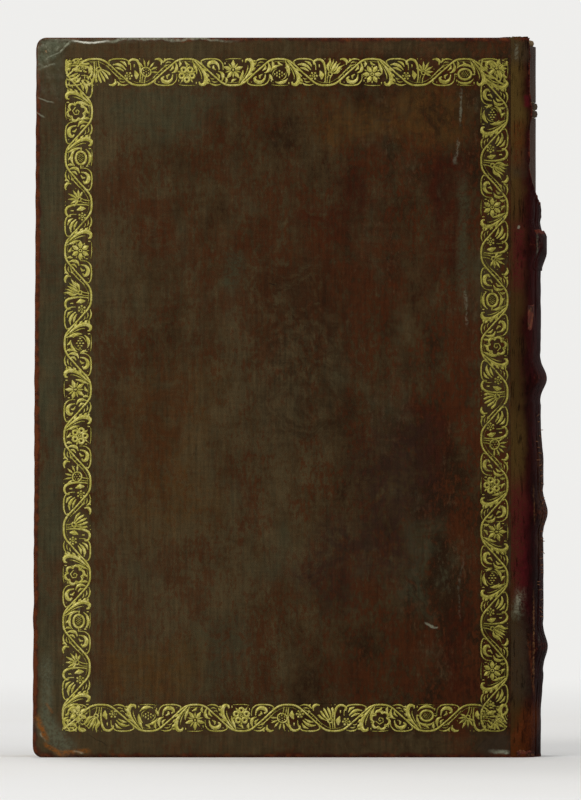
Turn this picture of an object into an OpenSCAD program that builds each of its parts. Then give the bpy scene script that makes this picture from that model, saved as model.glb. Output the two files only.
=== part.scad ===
// Antique folio in brown calf over pasteboards, sewn on raised cords, with a gold-tooled border.
// It stands on the tail edges of its boards: +Z to the head, +X to the spine, lower cover to -Y.
// The origin is at the middle of the box, on the surface that it stands on. Millimetres.

/* [Boards] */
// Height of a covered board, tail to head
cover_h = 300; // [240:1:360]
// Width of a covered board, fore-edge to joint
cover_w = 198; // [150:1:240]
// Thickness of the pasteboard
board_t = 3.6; // [2.5:0.1:6]
// Radius of the worn fore-edge corners
corner_r = 4; // [2:0.5:8]
// Rounding of the covered edges
edge_r = 1.3; // [0.5:0.1:2]

/* [Leather] */
// Thickness of the leather on the boards
leather_t = 0.9; // [0.6:0.1:1.3]
// Thickness of the pared turn-ins
turn_in_t = 0.6; // [0.4:0.1:1]
// Width of the turn-ins
turn_in_w = 16; // [10:1:25]
// Thickness of the leather on the spine
spine_leather_t = 1.2; // [0.8:0.1:1.6]
// How far the leather loss reaches below the head
loss_h = 66; // [40:1:90]
// Width of the leather left beside the joint along the loss
loss_strip_w = 7.4; // [5:0.1:9]
// Depth of the ragged teeth along the loss
loss_tooth = 3.5; // [1:0.5:5]

/* [Text block] */
// Thickness of the pages
pages_t = 34; // [22:1:60]
// How far the boards stand past the pages
square = 3.5; // [2.5:0.1:6]
// Depth of the hollow fore-edge
fore_hollow = 5; // [2:0.5:8]
// Rise of the rounded back
back_round = 9.7; // [8:0.1:14]
// Radius where the back turns into the shoulders
shoulder_r = 7; // [4:0.1:8]

/* [Sewing] */
// Number of raised cords
cord_count = 5; // [3:1:6]
// Width of a raised cord
cord_w = 6.5; // [4:0.1:9]
// Height of a raised cord over the lining
cord_rise = 3.2; // [1.5:0.1:4.5]
// Middle of the first cord below the head
head_panel = 30; // [20:1:45]
// Middle of the last cord above the tail
tail_panel = 46; // [25:1:60]
// Thickness of the lining between the cords
lining_t = 0.6; // [0.4:0.1:1]
// Thickness of an endband
endband_t = 2.4; // [1.5:0.1:3.5]
// Height of an endband
endband_h = 2.8; // [1.5:0.1:3]

/* [Lacing] */
// Thickness of a slip where it is laced into the board
slip_t = 1.1; // [0.7:0.1:1.4]
// Width of a frayed slip
slip_w = 8; // [5:0.5:12]
// Distance from the joint to the lacing hole
slip_reach = 13; // [8:0.5:20]
// Length of the slip's end on the inner side
slip_tail = 9; // [4:0.5:15]

/* [Papers] */
// Thickness of a pastedown
pastedown_t = 0.3; // [0.2:0.05:0.6]
// Leather left bare round a pastedown
pastedown_margin = 5; // [3:0.5:9]

/* [Gold border] */
// Width of the roll that tools the border
roll_w = 11.8; // [8:0.1:14]
// Length of one scroll of the roll
roll_unit = 19.3; // [14:0.1:30]
// Width of the roll's stem
stem_w = 0.9; // [0.5:0.1:1.4]
// Fore-edge to the border
border_fore = 12; // [6:0.1:20]
// Head to the border
border_head = 8.5; // [5:0.1:16]
// Tail to the border
border_tail = 10.6; // [5:0.1:16]
// Joint to the border
border_joint = 0.9; // [0.5:0.1:6]
// Thickness of the gold
gold_t = 0.11; // [0.05:0.01:0.2]
// How far the gold lies below the face of the cover
gold_sunk = 0.04; // [0.02:0.01:0.1]

/* [Joints] */
// Gap between a board and the shoulder beside it
joint_gap = 0.5; // [0.3:0.05:0.9]
// Gap between a closed cover and the pages
closing_gap = 0.3; // [0.2:0.05:0.6]
// How far the spine leather lies below the face of a cover
spine_setback = 0.4; // [0.3:0.05:0.9]

/* [Hidden] */
glue = 0.05;
past = 1;
$fn = 48;
case_t = leather_t + board_t + turn_in_t;
cover_t = case_t + pastedown_t;
half_t = pages_t / 2 + closing_gap + cover_t;
band_w = cord_w + 4.5;
band_rise = cord_rise + glue;
back_half = half_t - spine_setback - spine_leather_t - lining_t - 2 * glue;
spine_out = joint_gap + back_round + lining_t + 2 * glue + spine_leather_t + band_rise;
joint_x = (cover_w - spine_out) / 2;
fore_x = joint_x - cover_w;
back_x = joint_x + joint_gap;
pages_h = cover_h - 2 * square;
border_left = fore_x + border_fore;
border_right = joint_x - border_joint;
border_top = cover_h - border_head;
cord_pitch = (cover_h - head_panel - tail_panel) / (cord_count - 1);

// The back is a flat crown between two round shoulders, all tangent arcs.
crown_rise = back_round - shoulder_r;
crown_half = back_half - shoulder_r;
crown_r = shoulder_r + (crown_rise * crown_rise + crown_half * crown_half) / (2 * crown_rise);
crown_angle = asin(crown_half / (crown_r - shoulder_r));
shoulder_steps = 5;
crown_steps = 6;
back_angles = concat(
    [for (i = [0:shoulder_steps - 1]) -90 + i * (90 - crown_angle) / shoulder_steps],
    [for (i = [0:crown_steps]) -crown_angle + i * 2 * crown_angle / crown_steps],
    [for (i = [1:shoulder_steps]) crown_angle + i * (90 - crown_angle) / shoulder_steps]);

// Height of a cord's middle; the first one is nearest the head.
function cord_z(i) = cover_h - head_panel - (i - 1) * cord_pitch;

// A point of the back at an angle, a distance outside the pages.
function back_point(a, out) =
    let (on_crown = abs(a) <= crown_angle + 0.001,
         middle = on_crown ? [back_x + back_round - crown_r, 0] : [back_x, sign(a) * crown_half],
         r = (on_crown ? crown_r : shoulder_r) + out)
    middle + r * [cos(a), sin(a)];

// Bands and cords stand full on the crown and die away towards the joints.
function fullness(a) =
    abs(a) <= crown_angle ? 1 : pow(sin(90 * (90 - abs(a)) / (90 - crown_angle)), 2);

// Profiles across a cord and across the leather over it, from 0 at the edge to 1 at the middle.
function cord_profile(z) = abs(z) >= cord_w / 2 ? 0 : cos(180 * z / cord_w);
function band_profile(z) = abs(z) >= band_w / 2 ? 0 : pow(cos(180 * z / band_w), 2);
function nearest_band(z) = max([for (i = [1:cord_count]) band_profile(z - cord_z(i))]);

// Solid that follows the back: levels lists heights, outer and inner give its two faces.
module along_back(levels, outer, inner) {
    n = len(levels);
    ring = 2 * n;
    points = [
        for (a = back_angles, k = [0:ring - 1])
            let (level = k < n ? levels[k] : levels[ring - 1 - k],
                 out = k < n ? outer(a, level) : inner(a, level),
                 p = back_point(a, out))
            [p.x, p.y, level]];
    last = (len(back_angles) - 1) * ring;
    walls = [
        for (j = [0:len(back_angles) - 2], k = [0:ring - 1])
            let (p = j * ring + k, q = j * ring + (k + 1) % ring)
            each [[p, q, q + ring], [p, q + ring, p + ring]]];
    ends = [
        for (k = [0:n - 2])
            each [[k, ring - 1 - k, ring - 2 - k, k + 1],
                  [last + k + 1, last + ring - 2 - k, last + ring - 1 - k, last + k]]];
    polyhedron(points, concat(walls, ends));
}

module text_block() color("antiquewhite") {
    half = pages_t / 2;
    hollow_r = (half * half + fore_hollow * fore_hollow) / (2 * fore_hollow);
    translate([0, 0, square]) difference() {
        linear_extrude(pages_h) {
            translate([fore_x + square, -half]) square([cover_w - square + joint_gap, pages_t]);
            polygon([for (a = back_angles) back_point(a, 0)]);
        }
        translate([fore_x + square + fore_hollow - hollow_r, 0, -past])
            cylinder(pages_h + 2 * past, r = hollow_r, $fn = 96);
    }
}

// Worked band over a core, on the pages' edge behind the spine leather.
module endband(z) color("tan") {
    core = endband_t / 2;
    round_h = min(core, endband_h / 2);
    levels = [z, z + endband_h - round_h, z + endband_h - 0.5 * round_h, z + endband_h];
    half = function(level) core * (level > z + endband_h - 0.1 * round_h ? 0.4
        : level > z + endband_h - 0.9 * round_h ? 0.85 : 1);
    along_back(levels, function(a, level) half(level) - core - glue,
        function(a, level) -half(level) - core - glue);
}

module sewing_cord(i) color("peru") {
    levels = [for (k = [-3:3]) cord_z(i) + k * cord_w / 6];
    along_back(levels,
        function(a, z) glue + lining_t + cord_rise * cord_profile(z - cord_z(i)) * fullness(a),
        function(a, z) glue);
}

// Paper lining between two cords, or between a cord and the end of the pages.
module spine_lining(i) color("burlywood") {
    top = i == 1 ? cover_h - square : cord_z(i - 1) - cord_w / 2 - glue;
    bottom = i > cord_count ? square : cord_z(i) + cord_w / 2 + glue;
    along_back([bottom, top], function(a, z) glue + lining_t, function(a, z) glue);
}

// The lost leather: everything past the strip beside each joint, down to a ragged edge.
module leather_loss() {
    low = cover_h - loss_h;
    teeth = 13;
    reach = back_half + spine_leather_t + past;
    strip_edge = joint_x + loss_strip_w;
    intersection() {
        rotate([90, 0, 0]) linear_extrude(2 * half_t + 2 * past, center = true)
            polygon(concat(
                [[joint_x + 3 * spine_out, cover_h + past], [joint_x + 3 * spine_out, low - 4 * loss_tooth]],
                [for (k = [0:teeth])
                    [strip_edge + loss_tooth * (0.3 + 0.3 * sin(137 * k)), low - 4 * loss_tooth
                        + k * (loss_h + 4 * loss_tooth + past) / teeth]]));
        translate([back_x, 0, 0]) rotate([90, 0, 90]) linear_extrude(3 * spine_out)
            polygon(concat(
                [[reach, cover_h + past], [-reach, cover_h + past]],
                [for (k = [0:teeth])
                    [-reach + k * 2 * reach / teeth,
                     low + loss_tooth * (0.7 * sin(150 * k) + 2 * cos(47 * k))]]));
    }
}

module spine_leather() color("saddlebrown") {
    steps = [-1, -0.7, -0.35, 0, 0.35, 0.7, 1];
    levels = concat([0],
        [for (i = [cord_count:-1:1], s = steps) cord_z(i) + s * band_w / 2],
        [cover_h]);
    skin = 2 * glue + lining_t;
    difference() {
        along_back(levels,
            function(a, z) skin + spine_leather_t + band_rise * nearest_band(z) * fullness(a),
            function(a, z) skin + band_rise * nearest_band(z) * fullness(a));
        leather_loss();
    }
}

// A plate of a cover: a face outline with its inner side at a depth below the outer face.
module plate(depth, t) {
    translate([0, depth - half_t, 0]) rotate([90, 0, 0]) linear_extrude(t) children();
}

// Rectangle with all four corners rounded.
module rounded(size, r) {
    translate([r, 0]) square([size.x - 2 * r, size.y]);
    translate([0, r]) square([size.x, size.y - 2 * r]);
    for (x = [r, size.x - r], y = [r, size.y - r]) translate([x, y]) circle(r);
}

// Outline of a cover or of what lies inside it: round at the fore-edge, square at the joint.
module face_outline(inset, r) {
    intersection() {
        translate([fore_x + inset, inset]) rounded([cover_w + 2 * r, cover_h - 2 * inset], r);
        translate([fore_x, 0]) square([cover_w, cover_h]);
    }
}

module cover_leather() color("saddlebrown") difference() {
    intersection() {
        plate(case_t, case_t) face_outline(0, corner_r);
        linear_extrude(cover_h) translate([fore_x, -half_t]) intersection() {
            rounded([cover_w + 2 * edge_r, case_t], edge_r);
            square([cover_w, case_t]);
        }
        translate([fore_x, 0, 0]) rotate([90, 0, 90]) linear_extrude(cover_w)
            translate([-half_t, 0]) rounded([case_t, cover_h], edge_r);
    }
    plate(leather_t + board_t, board_t) {
        face_outline(leather_t, corner_r - leather_t);
        translate([joint_x - past, leather_t]) square([2 * past, cover_h - 2 * leather_t]);
    }
    plate(case_t + past, turn_in_t + past) between_turn_ins(0, past);
    plate(gold_sunk + gold_t + glue, cover_t) border_band();
}

// The inner side between the turn-ins, with a clearance to them, as far as the joint or beyond.
module between_turn_ins(clear, beyond) {
    edge = turn_in_w + clear;
    translate([fore_x + edge, edge]) square([cover_w - edge + beyond, cover_h - 2 * edge]);
}

// A slip laced in from the outer side, through the board and flat on its inner side.
module slip(i, clear) {
    low = cord_z(i) - slip_w / 2 - clear;
    wide = slip_w + 2 * clear;
    hole_x = joint_x - slip_reach;
    translate([hole_x - clear, leather_t - half_t - clear, low])
        cube([slip_reach + clear, slip_t + 2 * clear, wide]);
    translate([hole_x - clear, leather_t - half_t - clear, low])
        cube([2 * slip_t + 2 * clear, board_t + 2 * clear, wide]);
    translate([hole_x - slip_tail - clear, leather_t + board_t - half_t - slip_t - clear, low])
        cube([slip_tail + 2 * clear, slip_t + 2 * clear, wide]);
}

module board() color("tan") difference() {
    plate(leather_t + board_t, board_t) face_outline(leather_t, corner_r - leather_t);
    for (i = [1:cord_count]) slip(i, glue);
}

module infill() color("wheat") plate(case_t, turn_in_t) between_turn_ins(glue, 0);

module pastedown() color("antiquewhite") plate(cover_t, pastedown_t)
    translate([fore_x + pastedown_margin, pastedown_margin])
        square([cover_w - pastedown_margin - joint_gap, cover_h - 2 * pastedown_margin]);

// Outline of a stroke of even width along a line of points.
function stroke(line, w) =
    let (last = len(line) - 1,
         side = [for (k = [0:last])
             let (d = line[min(k + 1, last)] - line[max(k - 1, 0)])
             w / 2 * [-d.y, d.x] / norm(d)])
    concat([for (k = [0:last]) line[k] + side[k]], [for (k = [last:-1:0]) line[k] - side[k]]);

// One scroll: a stem that runs along one edge, turns across and curls back round a flower,
// with the flower's stalk and a leaf that springs back from where the stem sets out.
// It is drawn in a field one unit long and one high, and stretched to the roll's size.
module scroll(unit) {
    function place(p) = [p.x * unit, p.y * roll_w];
    turn = [0.6, 0];
    stem = concat([[-0.1, -0.04], [0.06, -0.35]],
        [for (a = [-100:44:120]) turn + [0.3 * cos(a), 0.42 * sin(a)]]);
    flower = [0.47, 0.01];
    petals = 4;
    polygon(stroke([for (p = stem) place(p)], stem_w));
    polygon([for (k = [0:2 * petals - 1])
        let (r = (k % 2 == 0 ? 0.29 : 0.15) * roll_w, a = k * 180 / petals)
        place(flower) + r * [cos(a), sin(a)]]);
    polygon([for (p = [[0.9, -0.03], [0.9, 0.05], flower]) place(p)]);
    polygon([for (p = [[-0.06, -0.14], [0.22, 0.42], [0.14, -0.04]]) place(p)]);
}

// One impression of the roll along +X, its middle on the X axis, made of whole scrolls.
module roll_impression(length) {
    scrolls = round(length / roll_unit);
    unit = length / scrolls;
    for (k = [0:scrolls - 1])
        translate([k * unit, 0]) scale([1, k % 2 == 0 ? 1 : -1]) scroll(unit);
}

// The roll sinks this band into the leather, and the gold lies on its floor.
module border_band(clear = 0) {
    outer = [border_right - border_left, border_top - border_tail];
    difference() {
        translate([border_left + clear, border_tail + clear])
            square([outer.x - 2 * clear, outer.y - 2 * clear]);
        translate([border_left + roll_w - clear, border_tail + roll_w - clear])
            square([outer.x - 2 * (roll_w - clear), outer.y - 2 * (roll_w - clear)]);
    }
}

module gilt_border() color("gold") {
    half = roll_w / 2;
    plate(gold_sunk + gold_t, gold_t) offset(delta = glue) intersection() {
        border_band(2 * glue);
        union() {
            for (x = [border_left + half, border_right - half])
                translate([x, border_tail]) rotate(90) roll_impression(border_top - border_tail);
            for (z = [border_tail + half, border_top - half])
                translate([border_left + roll_w, z])
                    roll_impression(border_right - border_left - 2 * roll_w);
        }
    }
}

// One piece of the lower cover; the upper cover is its mirror image.
module cover_piece(name) {
    if (name == "board") board();
    if (name == "leather") cover_leather();
    if (name == "infill") infill();
    if (name == "pastedown") pastedown();
    if (name == "gilt_border") gilt_border();
}

text_block();
endband(cover_h - square);  // head_endband
endband(square - endband_h);  // tail_endband
for (i = [1:cord_count])
    sewing_cord(i);
for (i = [1:cord_count + 1])
    spine_lining(i);
spine_leather();
for (side = ["back", "front"]) mirror([0, side == "front" ? 1 : 0, 0]) {
    for (piece = ["board", "leather", "infill", "pastedown", "gilt_border"])
        cover_piece(piece);
    for (i = [1:cord_count])
        color("peru") slip(i, 0);
}
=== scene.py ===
"""Looks of an antique folio in brown calf with a gold-tooled border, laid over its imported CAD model.

Shapes are worked out in millimetres and brought to metres when a piece is finished.
"""

import math
from types import SimpleNamespace

import bmesh
import bpy
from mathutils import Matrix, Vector, noise
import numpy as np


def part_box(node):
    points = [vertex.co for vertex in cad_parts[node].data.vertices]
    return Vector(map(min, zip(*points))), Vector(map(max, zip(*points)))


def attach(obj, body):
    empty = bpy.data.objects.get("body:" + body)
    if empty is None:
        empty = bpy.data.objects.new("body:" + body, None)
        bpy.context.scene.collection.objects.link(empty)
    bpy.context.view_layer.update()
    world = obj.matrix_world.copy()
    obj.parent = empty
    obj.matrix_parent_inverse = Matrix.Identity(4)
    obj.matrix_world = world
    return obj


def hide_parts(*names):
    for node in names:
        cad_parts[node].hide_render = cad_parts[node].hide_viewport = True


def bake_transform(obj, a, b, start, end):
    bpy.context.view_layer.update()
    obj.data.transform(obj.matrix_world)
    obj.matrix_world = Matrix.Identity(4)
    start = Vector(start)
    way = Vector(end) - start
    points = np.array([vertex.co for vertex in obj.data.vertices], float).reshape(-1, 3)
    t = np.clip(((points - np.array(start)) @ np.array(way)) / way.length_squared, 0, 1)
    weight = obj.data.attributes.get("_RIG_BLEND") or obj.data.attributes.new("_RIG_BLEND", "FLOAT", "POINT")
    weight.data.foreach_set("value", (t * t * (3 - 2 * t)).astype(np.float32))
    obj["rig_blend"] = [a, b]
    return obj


bl_info = {
    "name": "Antique Folio",
    "version": (1, 0, 0),
    "blender": (4, 5, 0),
    "location": "View3D > Sidebar > Folio",
    "description": "Worn calf covers, a gold roll border, a torn spine and pages for an antique folio",
    "category": "Add Mesh",
}

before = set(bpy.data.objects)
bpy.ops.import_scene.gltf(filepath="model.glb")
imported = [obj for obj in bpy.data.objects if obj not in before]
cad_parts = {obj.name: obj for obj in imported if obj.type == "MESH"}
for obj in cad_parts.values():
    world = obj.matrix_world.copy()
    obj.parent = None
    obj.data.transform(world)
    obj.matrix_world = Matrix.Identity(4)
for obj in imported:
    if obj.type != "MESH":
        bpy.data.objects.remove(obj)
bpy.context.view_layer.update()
MM = 0.001


def node_box(name):
    """Lowest and highest corner of a CAD node, in millimetres."""
    low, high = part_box(name)
    return low / MM, high / MM


CASE_LOW, CASE_HIGH = node_box("back_leather")
PAGES_LOW, PAGES_HIGH = node_box("text_block")
PASTE_LOW, PASTE_HIGH = node_box("back_pastedown")
FORE_X = CASE_LOW.x
JOINT_X = CASE_HIGH.x
HALF_T = -CASE_LOW.y
CASE_T = CASE_HIGH.y - CASE_LOW.y
HEIGHT = CASE_HIGH.z
JOINT_GAP = 0.5
BACK_X = JOINT_X + JOINT_GAP
BACK_HALF = PAGES_HIGH.y
# Length and width of one scroll of the roll, as its strokes are written out.
SCROLL_LENGTH = 19.3
SCROLL_WIDTH = 11.8


# Small helpers for shapes

def ease(start, end, value):
    """0 before start, 1 after end, and a soft step between them."""
    t = max(0.0, min(1.0, (value - start) / (end - start)))
    return t * t * (3 - 2 * t)


def wobble(x, y, size, seed=0.0):
    """Smooth noise from about -1 to 1 over a plane, with features of a size."""
    return noise.noise(Vector((x / size + 11.3 * seed, y / size - 5.7 * seed, 3.1 * seed)))


def ruled(stops, step):
    """Positions through each stop, no further apart than a step."""
    lines = []
    for low, high in zip(stops, stops[1:]):
        count = max(1, math.ceil((high - low) / step - 1e-6))
        lines += [low + (high - low) * k / count for k in range(count)]
    return lines + [stops[-1]]


def smooth_line(points, parts):
    """A line through points, each span of it cut into parts."""
    spots = [Vector(p) for p in points]
    ends = [2 * spots[0] - spots[1]] + spots + [2 * spots[-1] - spots[-2]]
    line = []
    for a, b, c, d in zip(ends, ends[1:], ends[2:], ends[3:]):
        for k in range(parts):
            t = k / parts
            line.append(0.5 * (2 * b + (c - a) * t + (2 * a - 5 * b + 4 * c - d) * t * t
                               + (3 * b - a - 3 * c + d) * t ** 3))
    return line + [spots[-1]]


def grid_place(value, count):
    """Row or column number of a vertex of a fresh grid or cube."""
    return round((value + 1) / 2 * count)


def fresh_grid(columns, rows):
    """A grid from -1 to 1, to be placed by its columns and rows."""
    sheet = bmesh.new()
    bmesh.ops.create_grid(sheet, x_segments=columns, y_segments=rows, size=1)
    return sheet


def fresh_cube(cuts):
    """A cube from -1 to 1, with a number of cuts across each of some axes."""
    cube = bmesh.new()
    bmesh.ops.create_cube(cube, size=2)
    for axis, count in cuts:
        runs = [e for e in cube.edges if abs(e.verts[0].co[axis] - e.verts[1].co[axis]) > 0.5]
        bmesh.ops.subdivide_edges(cube, edges=runs, cuts=count, use_grid_fill=True)
    return cube


def crease_depth(x, z, creases):
    """Depth that a list of creases gives at a point; each is two ends, a depth and a width."""
    depth = 0.0
    for x1, z1, x2, z2, deep, wide in creases:
        run = Vector((x2 - x1, z2 - z1))
        t = max(0.0, min(1.0, Vector((x - x1, z - z1)).dot(run) / run.length_squared))
        off = Vector((x - x1 - t * run.x, z - z1 - t * run.y)).length
        depth = max(depth, deep * (1 - ease(0, wide, off)))
    return depth


def add_object(name, data):
    """Adds an object with some data to the scene."""
    piece = bpy.data.objects.new(name, data)
    bpy.context.scene.collection.objects.link(piece)
    return piece


def to_mesh(name, shape):
    """Ends the work on a shape and gives its mesh."""
    mesh = bpy.data.meshes.new(name)
    shape.to_mesh(mesh)
    shape.free()
    return mesh


def add_piece(name, shape, material, body, stands_for=(), sharp=40):
    """Makes a shape in millimetres a piece of the scene that rides on a body."""
    bmesh.ops.scale(shape, vec=(MM, MM, MM), verts=shape.verts)
    return finish_piece(name, to_mesh(name, shape), material, body, stands_for, sharp)


def finish_piece(name, mesh, material, body, stands_for=(), sharp=40):
    """Gives a mesh its material, its body and the CAD nodes it stands for."""
    mesh.name = name
    mesh.materials.clear()
    mesh.materials.append(material)
    mesh.shade_smooth()
    mesh.set_sharp_from_angle(angle=math.radians(sharp))
    piece = add_object(name, mesh)
    if body:
        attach(piece, body)
    if stands_for:
        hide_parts(*stands_for)
    return piece


def thicken(piece, thickness):
    """Gives a skin its thickness, measured inwards."""
    skin = piece.modifiers.new("Thickness", "SOLIDIFY")
    skin.thickness = thickness * MM
    skin.offset = -1
    skin.use_even_offset = True


def stroke_mesh(name, strokes, rounding=0):
    """Mesh of strokes of changing width; each is a line of points and their widths, in millimetres."""
    curve = bpy.data.curves.new(name, "CURVE")
    curve.dimensions = "3D" if len(strokes[0][0][0]) == 3 else "2D"
    curve.fill_mode = "FULL" if curve.dimensions == "3D" else "NONE"
    curve.bevel_depth = MM
    curve.bevel_resolution = rounding
    curve.use_fill_caps = True
    for line, widths in strokes:
        spline = curve.splines.new("POLY")
        spline.points.add(len(line) - 1)
        for point, spot, width in zip(spline.points, line, widths):
            spot = Vector(spot).to_3d() * MM
            point.co = (spot.x, spot.y, spot.z, 1)
            point.radius = width / 2
    holder = add_object(name, curve)
    drawn = holder.evaluated_get(bpy.context.evaluated_depsgraph_get())
    mesh = bpy.data.meshes.new_from_object(drawn)
    bpy.data.objects.remove(holder)
    bpy.data.curves.remove(curve)
    return mesh


def mirrored(shape):
    """Turns a piece of the lower cover into its twin on the upper cover."""
    bmesh.ops.scale(shape, vec=(1, -1, 1), verts=shape.verts)
    bmesh.ops.reverse_faces(shape, faces=shape.faces)


def moved(mesh, place):
    """Moves each vertex of a mesh by a function of its place in millimetres."""
    for vertex in mesh.vertices:
        vertex.co = Vector(place(vertex.co / MM)) * MM


# Small helpers for materials

def plug(tree, made, inputs):
    """Sets or links the inputs of a node; each is a number, a colour or another node's output."""
    for key, value in inputs.items():
        if isinstance(value, bpy.types.NodeSocket):
            tree.links.new(value, made.inputs[key])
        else:
            made.inputs[key].default_value = value


def lay(tree, kind, inputs=None, **settings):
    """Adds a node with its settings and inputs."""
    made = tree.nodes.new(kind)
    for key, value in settings.items():
        setattr(made, key, value)
    plug(tree, made, inputs or {})
    return made


def maths(tree, what, first, second=0.0, third=0.0, clamp=False):
    """Output of a Math node."""
    inputs = {0: first, 1: second, 2: third}
    return lay(tree, "ShaderNodeMath", inputs, operation=what, use_clamp=clamp).outputs[0]


def times(tree, first, second):
    """Output of one value times another."""
    return maths(tree, "MULTIPLY", first, second)


def swayed(tree, value, clouds, share):
    """A value moved up and down by a noise, times a share."""
    return maths(tree, "MULTIPLY_ADD", maths(tree, "SUBTRACT", clouds, 0.5), share, value)


def vector_maths(tree, what, first, second):
    """Output of a Vector Math node."""
    return lay(tree, "ShaderNodeVectorMath", {0: first, 1: second}, operation=what).outputs[0]


def parts_of(tree, place):
    """X, Y and Z of a place."""
    return lay(tree, "ShaderNodeSeparateXYZ", {0: place}).outputs


def stretch(tree, value, low, high, to_low=0.0, to_high=1.0):
    """Output of a Map Range node, softened at both ends."""
    return lay(tree, "ShaderNodeMapRange", {0: value, 1: low, 2: high, 3: to_low, 4: to_high},
               interpolation_type="SMOOTHSTEP").outputs[0]


def tint(tree, share, first, second, blend="MIX"):
    """Output of a colour mix."""
    made = lay(tree, "ShaderNodeMix", {0: share, 6: first, 7: second}, data_type="RGBA", blend_type=blend)
    return made.outputs[2]


def cloud(tree, place, scale, detail=3.0, rough=0.55, warp=0.0):
    """Output of a noise texture; scale is in features per millimetre."""
    return lay(tree, "ShaderNodeTexNoise",
               {"Vector": place, "Scale": scale, "Detail": detail, "Roughness": rough,
                "Distortion": warp}).outputs["Fac"]


def scaled(tree, place, scale, shift=(0.0, 0.0, 0.0)):
    """Output of a Mapping node."""
    return lay(tree, "ShaderNodeMapping", {"Vector": place, "Location": shift, "Scale": scale}).outputs[0]


def colour(red, green, blue):
    """Linear colour of a sample as it is seen, from 0 to 255."""
    seen = [c / 255 for c in (red, green, blue)]
    return tuple(c / 12.92 if c <= 0.04045 else ((c + 0.055) / 1.055) ** 2.4 for c in seen) + (1.0,)


def new_group(name, inputs, outputs):
    """Node group with named inputs and outputs: its tree, its input sockets and its output node."""
    tree = bpy.data.node_groups.new(name, "ShaderNodeTree")
    for label, (kind, start) in inputs.items():
        socket = tree.interface.new_socket(name=label, in_out="INPUT", socket_type=kind)
        if start is not None:
            socket.default_value = start
    for label, kind in outputs.items():
        tree.interface.new_socket(name=label, in_out="OUTPUT", socket_type=kind)
    return tree, tree.nodes.new("NodeGroupInput").outputs, tree.nodes.new("NodeGroupOutput")


def use_group(tree, name, inputs):
    """Outputs of a node group placed in a material."""
    made = tree.nodes.new("ShaderNodeGroup")
    made.node_tree = bpy.data.node_groups[name]
    plug(tree, made, inputs)
    return made.outputs


FLOAT, VECTOR, COLOUR = "NodeSocketFloat", "NodeSocketVector", "NodeSocketColor"


def make_grain_group():
    """Pores and fine wrinkles of calf."""
    tree, given, out = new_group(
        "Calf Grain", {"Place": (VECTOR, None), "Pores": (FLOAT, 1.6), "Wrinkles": (FLOAT, 0.35)},
        {"Height": FLOAT, "Gloss Loss": FLOAT})
    cells = lay(tree, "ShaderNodeTexVoronoi", {"Vector": given["Place"], "Scale": given["Pores"]},
                feature="DISTANCE_TO_EDGE").outputs["Distance"]
    fine = cloud(tree, given["Place"], 2.4, 4.0)
    folds = cloud(tree, given["Place"], 0.22, 4.0, 0.6, 0.8)
    pores = times(tree, stretch(tree, cells, 0.0, 0.25), 0.5)
    height = maths(tree, "MULTIPLY_ADD", fine, 0.5, pores)
    height = maths(tree, "MULTIPLY_ADD", folds, given["Wrinkles"], height)
    tree.links.new(height, out.inputs["Height"])
    tree.links.new(stretch(tree, fine, 0.35, 0.7), out.inputs["Gloss Loss"])


def make_mottle_group():
    """Clouded colour of old calf: light ground, deep and red tones, grey patches and fine upright streaks."""
    tree, given, out = new_group(
        "Calf Mottle",
        {"Place": (VECTOR, None), "Ground": (COLOUR, None), "Middle": (COLOUR, None), "Deep": (COLOUR, None),
         "Red": (COLOUR, None), "Grey": (COLOUR, None), "Shade": (FLOAT, 0.5), "Redness": (FLOAT, 0.4)},
        {"Color": COLOUR, "Threads": FLOAT})
    place = given["Place"]
    tall = scaled(tree, place, (1.0, 1.0, 0.6))
    wide = cloud(tree, tall, 0.014, 6.0, 0.6)
    small = cloud(tree, tall, 0.1, 7.0, 0.76)
    upright = cloud(tree, scaled(tree, place, (1.0, 1.0, 0.07)), 0.85, 4.0, 0.65)
    grit = cloud(tree, scaled(tree, place, (1.0, 1.0, 0.5), (3.0, 8.0, 1.0)), 0.62, 4.0, 0.7)
    level = cloud(tree, scaled(tree, place, (0.12, 1.0, 1.0), (5.0, 0.0, 3.0)), 0.9, 2.0)
    shade = given["Shade"]
    for clouds, share in ((wide, 1.7), (small, 2.0), (upright, 0.6), (grit, 1.6)):
        shade = swayed(tree, shade, clouds, share)
    tone = tint(tree, stretch(tree, shade, 0.1, 0.6), given["Ground"], given["Middle"])
    tone = tint(tree, stretch(tree, shade, 0.5, 1.1), tone, given["Deep"])
    ruddy = cloud(tree, scaled(tree, tall, (1, 1, 1), (40.0, 7.0, 90.0)), 0.05, 8.0, 0.8)
    ruddy = swayed(tree, ruddy, grit, 0.7)
    ruddy = times(tree, stretch(tree, ruddy, 0.45, 0.6), given["Redness"])
    tone = tint(tree, ruddy, tone, given["Red"])
    greyed = cloud(tree, scaled(tree, tall, (1, 1, 1), (70.0, 3.0, 20.0)), 0.05, 7.0, 0.7)
    greyed = swayed(tree, greyed, grit, 0.5)
    tone = tint(tree, stretch(tree, greyed, 0.53, 0.7, 0.0, 0.5), tone, given["Grey"])
    thread = 1.0
    for clouds, share in ((upright, 1.3), (level, 0.35), (grit, 1.1)):
        thread = swayed(tree, thread, clouds, share)
    tree.links.new(tone, out.inputs["Color"])
    tree.links.new(thread, out.inputs["Threads"])


def make_rub_group():
    """Patchy mask of wear that grows with a worn share."""
    tree, given, out = new_group(
        "Worn Patches", {"Place": (VECTOR, None), "Wear": (FLOAT, 0.0), "Patch": (FLOAT, 0.4)},
        {"Mask": FLOAT})
    patches = cloud(tree, given["Place"], given["Patch"], 5.0, 0.65)
    level = maths(tree, "SUBTRACT", maths(tree, "MULTIPLY_ADD", given["Wear"], 0.5, patches), 0.62)
    mask = times(tree, stretch(tree, level, 0.05, 0.35), stretch(tree, given["Wear"], 0.0, 0.2))
    tree.links.new(mask, out.inputs["Mask"])


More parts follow.
